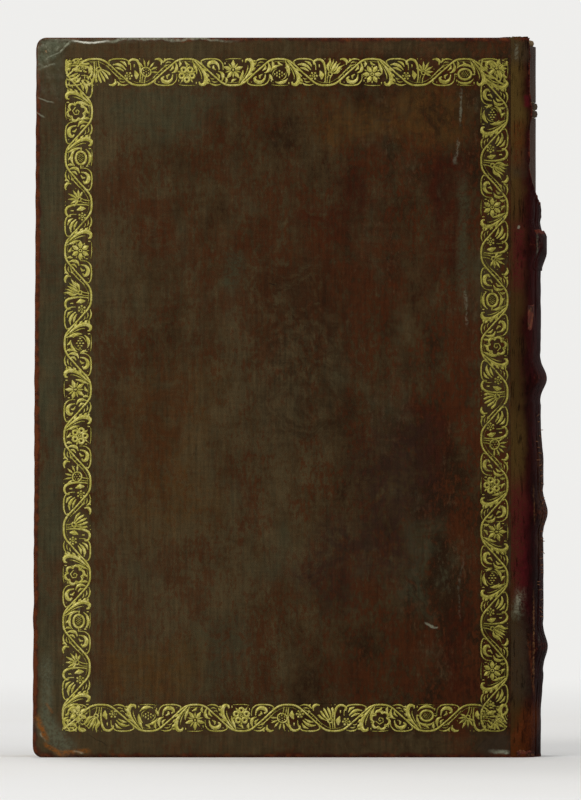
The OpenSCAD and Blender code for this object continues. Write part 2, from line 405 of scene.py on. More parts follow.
def make_mark_group():
    """Mask of one mark on a face seen along Y: its middle, its slope, its half length and its half width."""
    tree, given, out = new_group(
        "Mark",
        {"Place": (VECTOR, None), "Breaks": (FLOAT, 1.0), "Middle": (VECTOR, None), "Turn": (FLOAT, 0.0),
         "Half Length": (FLOAT, 5.0), "Half Width": (FLOAT, 0.5), "Break Up": (FLOAT, 0.4),
         "Strength": (FLOAT, 0.5), "Reach": (FLOAT, 20.0)},
        {"Mask": FLOAT})
    off = vector_maths(tree, "SUBTRACT", given["Place"], given["Middle"])
    turned = lay(tree, "ShaderNodeVectorRotate", {"Vector": off, "Angle": given["Turn"]},
                 rotation_type="Y_AXIS").outputs[0]
    part = parts_of(tree, turned)
    along = maths(tree, "DIVIDE", maths(tree, "ABSOLUTE", part["X"]), given["Half Length"])
    across = maths(tree, "DIVIDE", maths(tree, "ABSOLUTE", part["Z"]), given["Half Width"])
    mask = times(tree, stretch(tree, along, 1.0, 0.5), stretch(tree, across, 1.0, 0.2))
    near = stretch(tree, maths(tree, "DIVIDE", maths(tree, "ABSOLUTE", part["Y"]), given["Reach"]), 1.0, 0.7)
    broken = lay(tree, "ShaderNodeMix", {0: given["Break Up"], 2: 1.0, 3: given["Breaks"]}).outputs[0]
    mask = times(tree, times(tree, mask, near), broken)
    tree.links.new(times(tree, mask, given["Strength"]), out.inputs["Mask"])


def make_foxing_group():
    """Brown spots and toned edges of old paper."""
    tree, given, out = new_group(
        "Foxing", {"Place": (VECTOR, None), "Spots": (FLOAT, 0.5)}, {"Mask": FLOAT, "Tone": FLOAT})
    part = parts_of(tree, given["Place"])
    edge = stretch(tree, part["X"], FORE_X + 26, FORE_X + 2)
    for low, high in ((26, 2), (HEIGHT - 26, HEIGHT - 2)):
        edge = maths(tree, "MAXIMUM", edge, stretch(tree, part["Z"], low, high))
    spots = cloud(tree, given["Place"], 0.16, 2.0, 0.5)
    specks = cloud(tree, given["Place"], 0.9, 3.0, 0.6)
    spots = times(tree, stretch(tree, spots, 0.64, 0.76), stretch(tree, specks, 0.35, 0.65))
    tree.links.new(times(tree, spots, given["Spots"]), out.inputs["Mask"])
    soft = times(tree, cloud(tree, given["Place"], 0.025, 7.0, 0.6), 0.9)
    tree.links.new(maths(tree, "MULTIPLY_ADD", edge, 0.28, soft), out.inputs["Tone"])


GROUPS = (make_grain_group, make_mottle_group, make_rub_group, make_mark_group, make_foxing_group)


def new_material(name, **constants):
    """A material with one Principled shader: its tree, its place in millimetres and that shader."""
    material = bpy.data.materials.new(name)
    material.use_nodes = True
    tree = material.node_tree
    shader = tree.nodes["Principled BSDF"]
    for key, value in constants.items():
        shader.inputs[key.replace("_", " ")].default_value = value
    spot = tree.nodes.new("ShaderNodeTexCoord").outputs["Object"]
    place = scaled(tree, spot, (1 / MM, 1 / MM, 1 / MM))
    return material, tree, place, shader


def relief(tree, shader, height, distance, strength=1.0):
    """Lets a height, a distance high in millimetres, shape the shader's normal."""
    bump = lay(tree, "ShaderNodeBump", {"Height": height, "Distance": distance * MM, "Strength": strength})
    tree.links.new(bump.outputs[0], shader.inputs["Normal"])


def feed(tree, shader, **outputs):
    """Links outputs to the shader's sockets."""
    for key, value in outputs.items():
        tree.links.new(value, shader.inputs[key.replace("_", " ")])


def stored(tree, name):
    """Value of a mesh attribute."""
    return lay(tree, "ShaderNodeAttribute", attribute_name=name).outputs["Fac"]


def lay_marks(tree, place, tone, marks, looks, scale=0.9, reach=20.0):
    """Tints a colour where each mark stands; marks of one colour are laid together, down to a depth."""
    breaks = stretch(tree, cloud(tree, place, scale, 5.0, 0.65), 0.38, 0.6)
    masks = {}
    for key, middle, turn, length, width, broken, strength in marks:
        mask = use_group(tree, "Mark", {
            "Place": place, "Breaks": breaks, "Middle": middle, "Turn": turn, "Half Length": length,
            "Half Width": width, "Break Up": broken, "Strength": strength, "Reach": reach})["Mask"]
        masks[key] = maths(tree, "MAXIMUM", masks[key], mask) if key in masks else mask
    for key, mask in masks.items():
        tone = tint(tree, mask, tone, getattr(looks, key))
    return tone


def strayed(tree, place, scale, reach):
    """Places pushed about by noise, so that edges drawn on them turn ragged."""
    push = lay(tree, "ShaderNodeTexNoise", {"Vector": place, "Scale": scale, "Detail": 4.0}).outputs["Color"]
    push = vector_maths(tree, "SUBTRACT", push, (0.5, 0.5, 0.5))
    push = vector_maths(tree, "MULTIPLY", push, (reach, 0, reach))
    return vector_maths(tree, "ADD", place, push)


def brightened(tree, tone, share):
    """A colour times a share."""
    return lay(tree, "ShaderNodeVectorMath", {0: tone, "Scale": share}, operation="SCALE").outputs[0]


def calf_material(name, looks, seed, marks=()):
    """Calf on a cover: mottled, rubbed red along its edges, with marks where the real one has them. The
    creased corner gets a painted grey-green sheen, partly real rubbing, with painted light and shade on each
    facet, and some marks are painted highlights.
    """
    material, tree, place, shader = new_material(
        name, Specular_IOR_Level=0.03, Coat_Roughness=0.3, Coat_IOR=1.4)
    shifted = scaled(tree, place, (1, 1, 1), (seed * 37.0, 0.0, seed * 21.0))
    part = parts_of(tree, place)
    across = stretch(tree, part["X"], FORE_X - 20, JOINT_X + 20, 0.12, 0.9)
    streaks = cloud(tree, scaled(tree, shifted, (1.0, 1.0, 0.045)), 0.2, 4.0, 0.6)
    right = stretch(tree, part["X"], -50.0, 30.0, 0.1, 0.5)
    shade = swayed(tree, across, streaks, right)
    redness = stretch(tree, part["X"], -60.0, JOINT_X, 0.55, 0.9)
    mottle = use_group(tree, "Calf Mottle", {
        "Place": shifted, "Ground": looks.ground, "Middle": looks.middle, "Deep": looks.deep,
        "Red": looks.red, "Grey": looks.grey, "Shade": shade, "Redness": redness})
    tone = mottle["Color"]
    if marks:
        tone = lay_marks(tree, strayed(tree, place, 0.045, 34.0), tone, BACK_ZONES, looks, 0.22, 3.0)
    tone = brightened(tree, tone, mottle["Threads"])
    wear = stored(tree, "wear")
    rubbed = use_group(tree, "Worn Patches", {"Place": shifted, "Wear": wear, "Patch": 0.32})["Mask"]
    soiled = cloud(tree, shifted, 0.17, 6.0, 0.7)
    handled = swayed(tree, wear, soiled, 1.3)
    tone = tint(tree, stretch(tree, handled, 0.15, 0.65, 0.0, 0.8), tone, looks.edge_dark)
    tone = tint(tree, times(tree, rubbed, 0.8), tone, looks.edge_worn)
    # Painted light and shade on the creased corner: facets turned to the light get the pale scuff colour as
    # painted highlights, the others get the grey as painted shade, over a painted grey-green sheen.
    facet_light_and_shade = cloud(tree, place, 0.4, 5.0, 0.75)
    pressed = tint(tree, stretch(tree, facet_light_and_shade, 0.5, 0.36, 0.0, 0.8), looks.crumpled_and_sheen, looks.grey)
    pressed = tint(tree, stretch(tree, facet_light_and_shade, 0.5, 0.68, 0.0, 0.85), pressed, looks.scuffs_and_highlights)
    # The crumple attribute lays this painted sheen, partly real rubbing, over the creased corner and along
    # the head.
    tone = tint(tree, times(tree, stored(tree, "crumple"), 0.85), tone, pressed)
    if marks:
        ragged = strayed(tree, strayed(tree, place, 0.05, 7.0), 0.5, 1.0)
        tone = lay_marks(tree, ragged, tone, marks, looks, 0.9, 3.0)
    grain = use_group(tree, "Calf Grain", {"Place": shifted, "Pores": 1.6, "Wrinkles": 0.5})
    gloss = maths(tree, "MULTIPLY_ADD", grain["Gloss Loss"], 0.18, 0.42)
    gloss = maths(tree, "MULTIPLY_ADD", rubbed, 0.15, gloss)
    coat = stretch(tree, streaks, 0.4, 0.7, 0.0, 0.02)
    feed(tree, shader, Base_Color=tone, Roughness=gloss, Coat_Weight=coat)
    relief(tree, shader, grain["Height"], 0.05, 0.7)
    return material


def spine_material(looks):
    """Calf on the spine: deep red, browner by the joints, with dry cracks, torn, fibrous edges and painted
    shade towards its crown.
    """
    material, tree, place, shader = new_material("spine_calf_red", Specular_IOR_Level=0.02)
    part = parts_of(tree, place)
    mottle = use_group(tree, "Calf Mottle", {
        "Place": scaled(tree, place, (1, 1, 0.5)), "Ground": looks.spine_red, "Middle": looks.spine_deep,
        "Deep": looks.spine_dark_and_shade, "Red": looks.spine_bright, "Grey": looks.spine_deep, "Shade": 0.4,
        "Redness": 0.2})
    tone = brightened(tree, mottle["Color"], mottle["Threads"])
    ragged = swayed(tree, part["X"], cloud(tree, place, 0.08, 4.0), 9.0)
    by_joint = stretch(tree, ragged, JOINT_X + 7.5, JOINT_X + 1.5)
    head = stretch(tree, part["Z"], 215.0, 262.0, 0.45, 0.9)
    tone = tint(tree, times(tree, by_joint, head), tone, looks.joint_brown)
    tone = lay_marks(tree, strayed(tree, place, 0.16, 5.0), tone, SPINE_ZONES, looks)
    tone = lay_marks(tree, strayed(tree, place, 0.5, 1.2), tone, SPINE_MARKS, looks, 0.9, 9.0)
    cracks = cloud(tree, scaled(tree, place, (1.0, 1.0, 0.12)), 0.9, 5.0, 0.7)
    dry = times(tree, stretch(tree, cracks, 0.54, 0.66), 0.7)
    tone = tint(tree, dry, tone, looks.spine_dark_and_shade)
    # Painted shade: the spine darkens towards its crown, where it turns away from the light.
    painted_crown_shade = stretch(tree, part["X"], JOINT_X + 8.5, JOINT_X + 14.0, 0.0, 0.35)
    tone = tint(tree, painted_crown_shade, tone, looks.spine_dark_and_shade)
    torn = stored(tree, "torn")
    frayed = use_group(tree, "Worn Patches", {"Place": place, "Wear": torn, "Patch": 0.9})["Mask"]
    tone = tint(tree, frayed, tone, looks.flesh)
    grain = use_group(tree, "Calf Grain", {"Place": place, "Pores": 1.1, "Wrinkles": 1.2})
    height = maths(tree, "MULTIPLY_ADD", dry, -1.5, grain["Height"])
    rough = maths(tree, "MULTIPLY_ADD", dry, 0.2, maths(tree, "MULTIPLY_ADD", grain["Gloss Loss"], 0.2, 0.58))
    feed(tree, shader, Base_Color=tone, Roughness=rough)
    relief(tree, shader, height, 0.12, 0.8)
    return material


def shred_material(looks):
    """Flesh side of torn calf: dry, fibrous and paler than its face."""
    material, tree, place, shader = new_material("torn_calf_flesh", Specular_IOR_Level=0.15)
    fibres = cloud(tree, scaled(tree, place, (1.0, 1.0, 0.3)), 1.6, 5.0, 0.7)
    patches = cloud(tree, place, 0.35, 3.0)
    tone = tint(tree, stretch(tree, patches, 0.38, 0.62), looks.flesh, looks.spine_red)
    tone = tint(tree, stretch(tree, fibres, 0.52, 0.7), tone, looks.tan)
    feed(tree, shader, Base_Color=tone, Roughness=stretch(tree, fibres, 0.3, 0.7, 0.7, 0.95))
    relief(tree, shader, fibres, 0.15)
    return material


def gold_material(looks):
    """Old gold leaf: a painted highlight on the tops of its strokes and painted shade where they sink, rubbed
    to the calf in places.
    """
    material, tree, place, shader = new_material("gold_leaf_rubbed", Specular_IOR_Level=0.1)
    part = parts_of(tree, place)
    rub = cloud(tree, place, 0.35, 6.0, 0.7)
    fine = cloud(tree, place, 2.2, 3.0)
    wide = cloud(tree, place, 0.03, 2.0)
    level = swayed(tree, rub, wide, 0.25)
    level = maths(tree, "ADD", stretch(tree, part["X"], 50.0, 90.0, 0.0, 0.03), level)
    worn = stretch(tree, level, 0.6, 0.7)
    dull = stretch(tree, part["X"], 20.0, 85.0, 0.0, 0.09)
    coarse = cloud(tree, scaled(tree, place, (1, 1, 1), (9, 9, 9)), 0.7, 4.0, 0.65)
    spread = maths(tree, "MULTIPLY_ADD", coarse, 0.65, times(tree, fine, 0.35))
    # Painted light: each stroke's height gives a painted highlight on its top and painted shade at its sunk
    # edges.
    raised = stretch(tree, stored(tree, "ridge"), 0.0, 0.2)
    full = maths(tree, "MULTIPLY_ADD", raised, 0.3, maths(tree, "SUBTRACT", spread, dull))
    tone = tint(tree, stretch(tree, full, 0.46, 0.8), looks.gold_deep_and_shade, looks.gold)
    tone = tint(tree, stretch(tree, full, 0.76, 0.92), tone, looks.gold_highlight)
    tone = tint(tree, stretch(tree, part["X"], 20.0, 85.0, 0.0, 0.3), tone, looks.gold_deep_and_shade)
    tone = tint(tree, times(tree, worn, 0.85), tone, looks.middle)
    shine = stretch(tree, level, 0.6, 0.7, 0.3, 0.0)
    feed(tree, shader, Base_Color=tone, Metallic=shine, Roughness=stretch(tree, fine, 0.3, 0.7, 0.36, 0.5))
    relief(tree, shader, fine, 0.03, 0.6)
    return material


def page_material(looks):
    """Edges of old pages: cream, toned and dusty, with fine lines of leaves."""
    material, tree, place, shader = new_material("page_edges_toned", Specular_IOR_Level=0.2)
    part = parts_of(tree, place)
    leaves = cloud(tree, scaled(tree, place, (0.02, 6.0, 0.02)), 1.0, 4.0, 0.7)
    fox = use_group(tree, "Foxing", {"Place": place, "Spots": 0.7})
    flat = stretch(tree, maths(tree, "ABSOLUTE", part["Y"]), -PASTE_HIGH.y - 0.8, -PASTE_HIGH.y - 0.5)
    shown = maths(tree, "MAXIMUM", stretch(tree, leaves, 0.3, 0.7), times(tree, flat, 0.85))
    tone = tint(tree, shown, looks.page_shadow, looks.page)
    tone = tint(tree, stretch(tree, fox["Tone"], 0.35, 1.0, 0.0, 0.35), tone, looks.page_toned)
    tone = tint(tree, fox["Mask"], tone, looks.foxed)
    dust = times(tree, stretch(tree, part["Z"], HEIGHT - 6, HEIGHT - 3.4), 0.4)
    tone = tint(tree, dust, tone, looks.page_dust)
    feed(tree, shader, Base_Color=tone, Roughness=stretch(tree, leaves, 0.2, 0.8, 0.8, 0.95))
    relief(tree, shader, leaves, 0.2)
    return material


def paper_material(name, light, toned, spots, looks, wrinkles=0.06):
    """Old laid paper with chain lines, toned and foxed."""
    material, tree, place, shader = new_material(name, Specular_IOR_Level=0.2)
    fox = use_group(tree, "Foxing", {"Place": place, "Spots": spots})
    laid = lay(tree, "ShaderNodeTexWave", {"Vector": place, "Scale": 0.28, "Distortion": 0.6, "Detail": 2.0},
               bands_direction="Z").outputs["Fac"]
    pulp = cloud(tree, place, 0.8, 5.0, 0.7)
    tone = tint(tree, stretch(tree, fox["Tone"], 0.3, 1.0, 0.0, 0.75), light, toned)
    tone = tint(tree, stretch(tree, laid, 0.0, 1.0, 0.0, 0.08), tone, toned)
    tone = tint(tree, fox["Mask"], tone, looks.foxed)
    height = maths(tree, "MULTIPLY_ADD", laid, 0.2, pulp)
    feed(tree, shader, Base_Color=tone, Roughness=stretch(tree, pulp, 0.3, 0.7, 0.82, 0.95))
    relief(tree, shader, height, wrinkles)
    return material


def fibre_material(name, light, dark, scale, looks):
    """Hemp or linen fibres, laid across the thread and darkened by glue and dust."""
    material, tree, place, shader = new_material(name, Specular_IOR_Level=0.2)
    fibres = cloud(tree, place, scale, 5.0, 0.75, 1.0)
    soil = cloud(tree, place, 0.12, 4.0, 0.6)
    tone = tint(tree, stretch(tree, fibres, 0.35, 0.65), dark, light)
    tone = tint(tree, stretch(tree, soil, 0.45, 0.75, 0.0, 0.7), tone, looks.page_dust)
    feed(tree, shader, Base_Color=tone, Roughness=stretch(tree, fibres, 0.3, 0.7, 0.75, 0.95))
    relief(tree, shader, fibres, 0.12)
    return material


def board_material(looks):
    """Grey-brown pasteboard with layers at its edges."""
    material, tree, place, shader = new_material("pasteboard_grey", Specular_IOR_Level=0.2)
    layers = cloud(tree, scaled(tree, place, (0.05, 2.5, 0.05)), 1.0, 4.0, 0.7)
    pulp = cloud(tree, place, 0.9, 5.0, 0.7)
    tone = tint(tree, stretch(tree, layers, 0.3, 0.7), looks.board_dark, looks.board)
    tone = tint(tree, stretch(tree, pulp, 0.5, 0.75, 0.0, 0.4), tone, looks.page_dust)
    feed(tree, shader, Base_Color=tone, Roughness=stretch(tree, pulp, 0.3, 0.7, 0.85, 0.95))
    relief(tree, shader, maths(tree, "ADD", layers, pulp), 0.15)
    return material


# What a user would change

def length_property(name, description, value):
    """A length, given in millimetres."""
    return bpy.props.FloatProperty(
        name=name, description=description, default=value * MM, min=0.0, unit="LENGTH", precision=5)


def colour_property(name, description, value):
    """A colour, given as a linear one."""
    return bpy.props.FloatVectorProperty(
        name=name, description=description, default=value, size=4, min=0.0, max=1.0, subtype="COLOR")


class FolioCover(bpy.types.PropertyGroup):
    corner: length_property("Corner radius", "Rounding of the worn fore-edge corners", 4.0)
    edge: length_property("Edge radius", "Rounding of the covered edges", 1.3)
    turn_in: length_property("Turn-in width", "Width of the leather turned in over the board", 16.0)
    skin: length_property("Leather thickness", "Thickness of the calf on the boards", 0.55)
    mesh_step: length_property("Mesh step", "Largest spacing of the cover's mesh lines", 1.9)
    fine_step: length_property("Fine step", "Spacing of the mesh lines along the fore-edge and the head", 0.8)


class FolioRoll(bpy.types.PropertyGroup):
    width: length_property("Roll width", "Width of the gold roll", SCROLL_WIDTH)
    unit: length_property("Scroll length", "Length of one scroll of the roll", SCROLL_LENGTH)
    fore: length_property("Fore-edge margin", "Fore-edge to the border", 12.0)
    head: length_property("Head margin", "Head to the border", 8.5)
    tail: length_property("Tail margin", "Tail to the border", 10.6)
    joint: length_property("Joint margin", "Joint to the border", 0.9)
    sunk: length_property("Impression", "Depth that the roll is pressed into the calf", 0.2)


class FolioSpine(bpy.types.PropertyGroup):
    shoulder: length_property("Shoulder radius", "Radius where the back turns into the shoulders", 7.0)
    band: length_property("Band width", "Width of the leather over a raised cord", 16.5)
    rise: length_property("Band rise", "Height of the raised bands", 2.5)
    skin: length_property("Leather thickness", "Thickness of the calf on the spine", 0.9)
    loss: length_property("Loss at the head", "How far the lost leather reaches below the head", 66.0)


class FolioColours(bpy.types.PropertyGroup):
    ground: colour_property("Calf, light", "Olive brown towards the fore-edge", colour(66, 54, 34))
    middle: colour_property("Calf, middle", "Brown at the middle of the cover", colour(54, 40, 22))
    deep: colour_property("Calf, deep", "Dark brown towards the joint", colour(33, 19, 7))
    red: colour_property("Calf, red", "Red-brown where the dye shows", colour(56, 26, 9))
    grey: colour_property("Calf, grey", "Grey green patches in the calf", colour(54, 54, 37))
    amber: colour_property("Calf, amber", "Yellow brown patches in the calf", colour(70, 47, 19))
    dark_red: colour_property("Calf, dark red", "Dark red patches in the calf", colour(47, 16, 5))
    purple: colour_property("Calf, purple", "Purple brown patches in the calf", colour(38, 23, 16))
    edge_worn: colour_property("Edge, worn", "Orange brown where edges are rubbed", colour(94, 46, 22))
    edge_bright: colour_property("Edge, bright", "Bare orange calf at a worn corner", colour(122, 70, 20))
    edge_dark: colour_property("Edge, dark", "Dark red where edges have been handled", colour(50, 18, 12))
    # Partly real rubbing, partly painted grey-green sheen on the creased corner.
    crumpled_and_sheen: colour_property("Crumpled calf", "Grey green of crumpled calf and of rubs", colour(90, 94, 75))
    # Real scuffs, and painted highlights on ridges, creases and the facets of the creased corner.
    scuffs_and_highlights: colour_property("Scuffs", "Pale grey of scuffs and of creases", colour(146, 148, 126))
    # The spine's reds are kept very dark, partly the calf's own red and partly painted shade where the spine
    # turns away from the light.
    spine_red: colour_property("Spine, red", "Red calf of the spine", colour(36, 8, 5))
    spine_deep: colour_property("Spine, deep", "Deeper red of the spine", colour(22, 4, 3))
    # Also the painted shade towards the spine's crown.
    spine_dark_and_shade: colour_property("Spine, dark", "Nearly black calf in the spine's cracks", colour(8, 3, 2))
    joint_brown: colour_property("Joint, head", "Brown calf beside the joint at the head", colour(72, 55, 24))
    joint_tail: colour_property("Joint, tail", "Orange brown calf by the joint, tail", colour(70, 31, 9))
    # A painted highlight along the head edge.
    head_edge_highlight: colour_property("Gleam", "Nearly white skin where the head edge is rubbed", colour(206, 204, 188))
    joint_grey: colour_property("Joint, grey", "Grey brown patches beside the joint", colour(49, 39, 28))
    spine_bright: colour_property("Spine, bright", "Clear red where the dye is fresh", colour(66, 14, 18))
    flesh: colour_property("Torn calf", "Red-brown flesh side of torn calf", colour(84, 36, 24))
    tan: colour_property("Torn calf, tan", "Pale tan fibres of torn calf", colour(128, 90, 56))
    gold: colour_property("Gold", "Gold leaf", colour(160, 151, 68))
    # Painted highlight on the tops of the gold strokes.
    gold_highlight: colour_property("Gold, bright", "Gold leaf on its ridges", colour(188, 178, 110))
    # Dark gold, and the painted shade at the sunk edges of the gold strokes.
    gold_deep_and_shade: colour_property("Gold, deep", "Gold leaf where it is thin", colour(62, 54, 8))
    page: colour_property("Page", "Cream edges of the leaves", colour(202, 184, 146))
    page_shadow: colour_property("Page, shadow", "Darker edges of the leaves", colour(150, 128, 92))
    page_toned: colour_property("Page, toned", "Toned patches of the page edges", colour(160, 128, 84))
    page_dust: colour_property("Dust", "Old dust and soil", colour(84, 70, 54))
    foxed: colour_property("Foxing", "Brown spots in paper", colour(142, 92, 48))
    # The lining colours are kept dark, partly glue-brown paper and partly painted shade on the bare back at
    # the head.
    lining: colour_property("Lining", "Paper on the back, brown with glue", colour(54, 37, 25))
    lining_dark: colour_property("Lining, dark", "Darkest glue on the back", colour(26, 16, 11))
    cord: colour_property("Cord", "Hemp of the sewing cords", colour(62, 45, 29))
    cord_dark: colour_property("Cord, dark", "Hemp between its strands", colour(38, 27, 18))
    thread: colour_property("Thread", "Linen thread of the endbands", colour(132, 110, 76))
    thread_dark: colour_property("Thread, dark", "Soiled linen thread", colour(76, 58, 38))
    board: colour_property("Pasteboard", "Grey-brown pasteboard", colour(140, 116, 84))
    board_dark: colour_property("Pasteboard, dark", "Darker layers of pasteboard", colour(100, 78, 54))
    floor: colour_property("Floor", "Pale floor", (0.82, 0.81, 0.79, 1.0))
    backdrop: colour_property("Backdrop", "Pale background behind the floor", (0.86, 0.855, 0.84, 1.0))


class FolioStage(bpy.types.PropertyGroup):
    distance: length_property("Camera distance", "Camera to the face of the lower cover", 6000.0)
    height: length_property("Camera height", "Height of the camera", 148.96)
    aside: bpy.props.FloatProperty(
        name="Camera offset", description="How far the camera stands to the spine side",
        default=-0.425 * MM, unit="LENGTH", precision=5)
    view: length_property("View height", "Height of the view at the lower cover", 333.33)


SIDES = (("back", -1), ("front", 1))


def settings(name):
    """One group of the user's settings."""
    return getattr(bpy.context.scene, "folio_" + name)


def wanted(group, name):
    """A length from the settings, in millimetres."""
    return getattr(settings(group), name) / MM


def palette():
    """The colours as plain values."""
    given = settings("colours")
    return SimpleNamespace(**{key: tuple(getattr(given, key)) for key in FolioColours.__annotations__})


# Covers

# Creases of the lower cover: two ends from the fore-edge and the tail, depth and width, in millimetres.
BACK_CREASES = (
    (15.0, 298.2, 8.0, 289.6, 0.55, 1.7),
    (12.0, 299.6, 5.0, 292.0, 0.45, 1.6),
    (3.0, 296.0, 9.0, 287.0, 0.5, 1.8),
    (1.0, 291.0, 7.0, 284.0, 0.4, 1.6),
    (0.5, 287.4, 9.5, 286.2, 0.22, 1.3),
    (0.5, 274.6, 8.0, 272.4, 0.24, 1.4),
    (1.0, 269.8, 6.0, 267.8, 0.2, 1.2),
    (1.5, 12.0, 11.0, 2.5, 0.35, 1.8),
    (0.5, 7.0, 7.0, 0.5, 0.3, 1.5),
    (3.0, 17.0, 7.5, 12.5, 0.25, 1.4),
    (187.0, 9.6, 190.5, 1.5, 0.35, 1.3),
    (183.5, 5.2, 192.0, 3.6, 0.25, 1.3),
    (190.5, 9.0, 192.6, 4.0, 0.3, 1.2),
)
FRONT_CREASES = (
    (1.5, 288.0, 10.5, 297.5, 0.35, 1.8),
    (1.0, 10.5, 9.0, 2.0, 0.35, 1.7),
)
# Ridges of the lower cover, given like its creases.
BACK_RIDGES = (
    (14.2, 298.8, 9.4, 293.2, 0.4, 1.1),
    (9.4, 293.2, 3.4, 289.8, 0.3, 1.0),
    (2.0, 286.3, 7.6, 287.8, 0.3, 0.9),
    (1.4, 282.6, 6.6, 283.8, 0.2, 0.9),
    (1.6, 275.0, 8.4, 272.6, 0.35, 0.9),
    (0.8, 269.6, 4.4, 266.8, 0.3, 0.9),
    (6.0, 298.6, 4.6, 292.4, 0.3, 0.9),
    (2.4, 15.0, 9.6, 4.0, 0.3, 1.1),
    (188.4, 11.0, 192.0, 2.5, 0.3, 1.1),
)


def fore_shift(x, z):
    """How far a point moves in X, because the lower cover runs a little wider to its tail."""
    return (0.35 - 1.55 * (1 - z / HEIGHT)) * (1 - ease(8, 60, x))


def face_depth(x, z, side):
    """How far the face of a cover lies below a flat face, at a distance from its fore-edge and its tail."""
    seed = 0.0 if side == "back" else 5.0
    depth = 0.06 + 0.06 * wobble(x, z, 34, seed) + 0.03 * wobble(x, z, 9, seed + 1)
    near = math.hypot(x, HEIGHT - z)
    crumple = ease(19, 6, near) if side == "back" else 0.4 * ease(15, 5, near)
    folds = 0.45 * abs(wobble(x, z, 2.8, seed + 2)) + 0.3 * abs(wobble(x, z, 6.0, seed + 3))
    depth += crumple * (0.3 + folds)
    low = math.hypot(x, z)
    depth += 0.5 * ease(15, 4, low) * (0.3 + abs(wobble(x, z, 3.6, seed + 4)))
    creases = BACK_CREASES if side == "back" else FRONT_CREASES
    depth += crease_depth(x, z, creases) * (0.75 + 0.5 * wobble(x, z, 2.5, seed + 5))
    if side == "back":
        depth -= crease_depth(x, z, BACK_RIDGES) * (0.8 + 0.5 * wobble(x, z, 2.0, 8.0))
    return depth + 0.3 * ease(0.9, 0.0, JOINT_X - FORE_X - x)


def crumple_sheen_share(x, down, inset):
    """How much grey-green the lower cover takes at its fore-edge head corner and along its head: partly real
    crumpling and rubbing, partly painted sheen.
    """
    corner = ease(17.5, 13.0, x + down + 2.0 * wobble(x, down, 3.0, 2.0))
    corner *= 0.7 + 0.3 * wobble(x, down, 2.2, 3.0)
    below = 0.25 * ease(13.0, 9.0, x) * ease(32, 22, down) * (0.6 + 0.4 * wobble(x, down, 3.5, 4.0))
    along = 0.75 * ease(2.6, 1.4, down) * ease(70.0, 12.0, x) * (0.6 + 0.5 * wobble(x, down, 2.5, 5.0))
    return max(0.0, corner, below, along) * ease(0.1, 0.7, inset)


def border_box():
    """Outer sides of the border, from the fore-edge and the tail."""
    return (wanted("roll", "fore"), JOINT_X - FORE_X - wanted("roll", "joint"), wanted("roll", "tail"),
            HEIGHT - wanted("roll", "head"))


def in_border(x, z):
    """Whether a point lies in the band that the roll sinks."""
    left, right, low, high = border_box()
    width = wanted("roll", "width")
    inside = left < x < right and low < z < high
    middle = left + width < x < right - width and low + width < z < high - width
    return inside and not middle


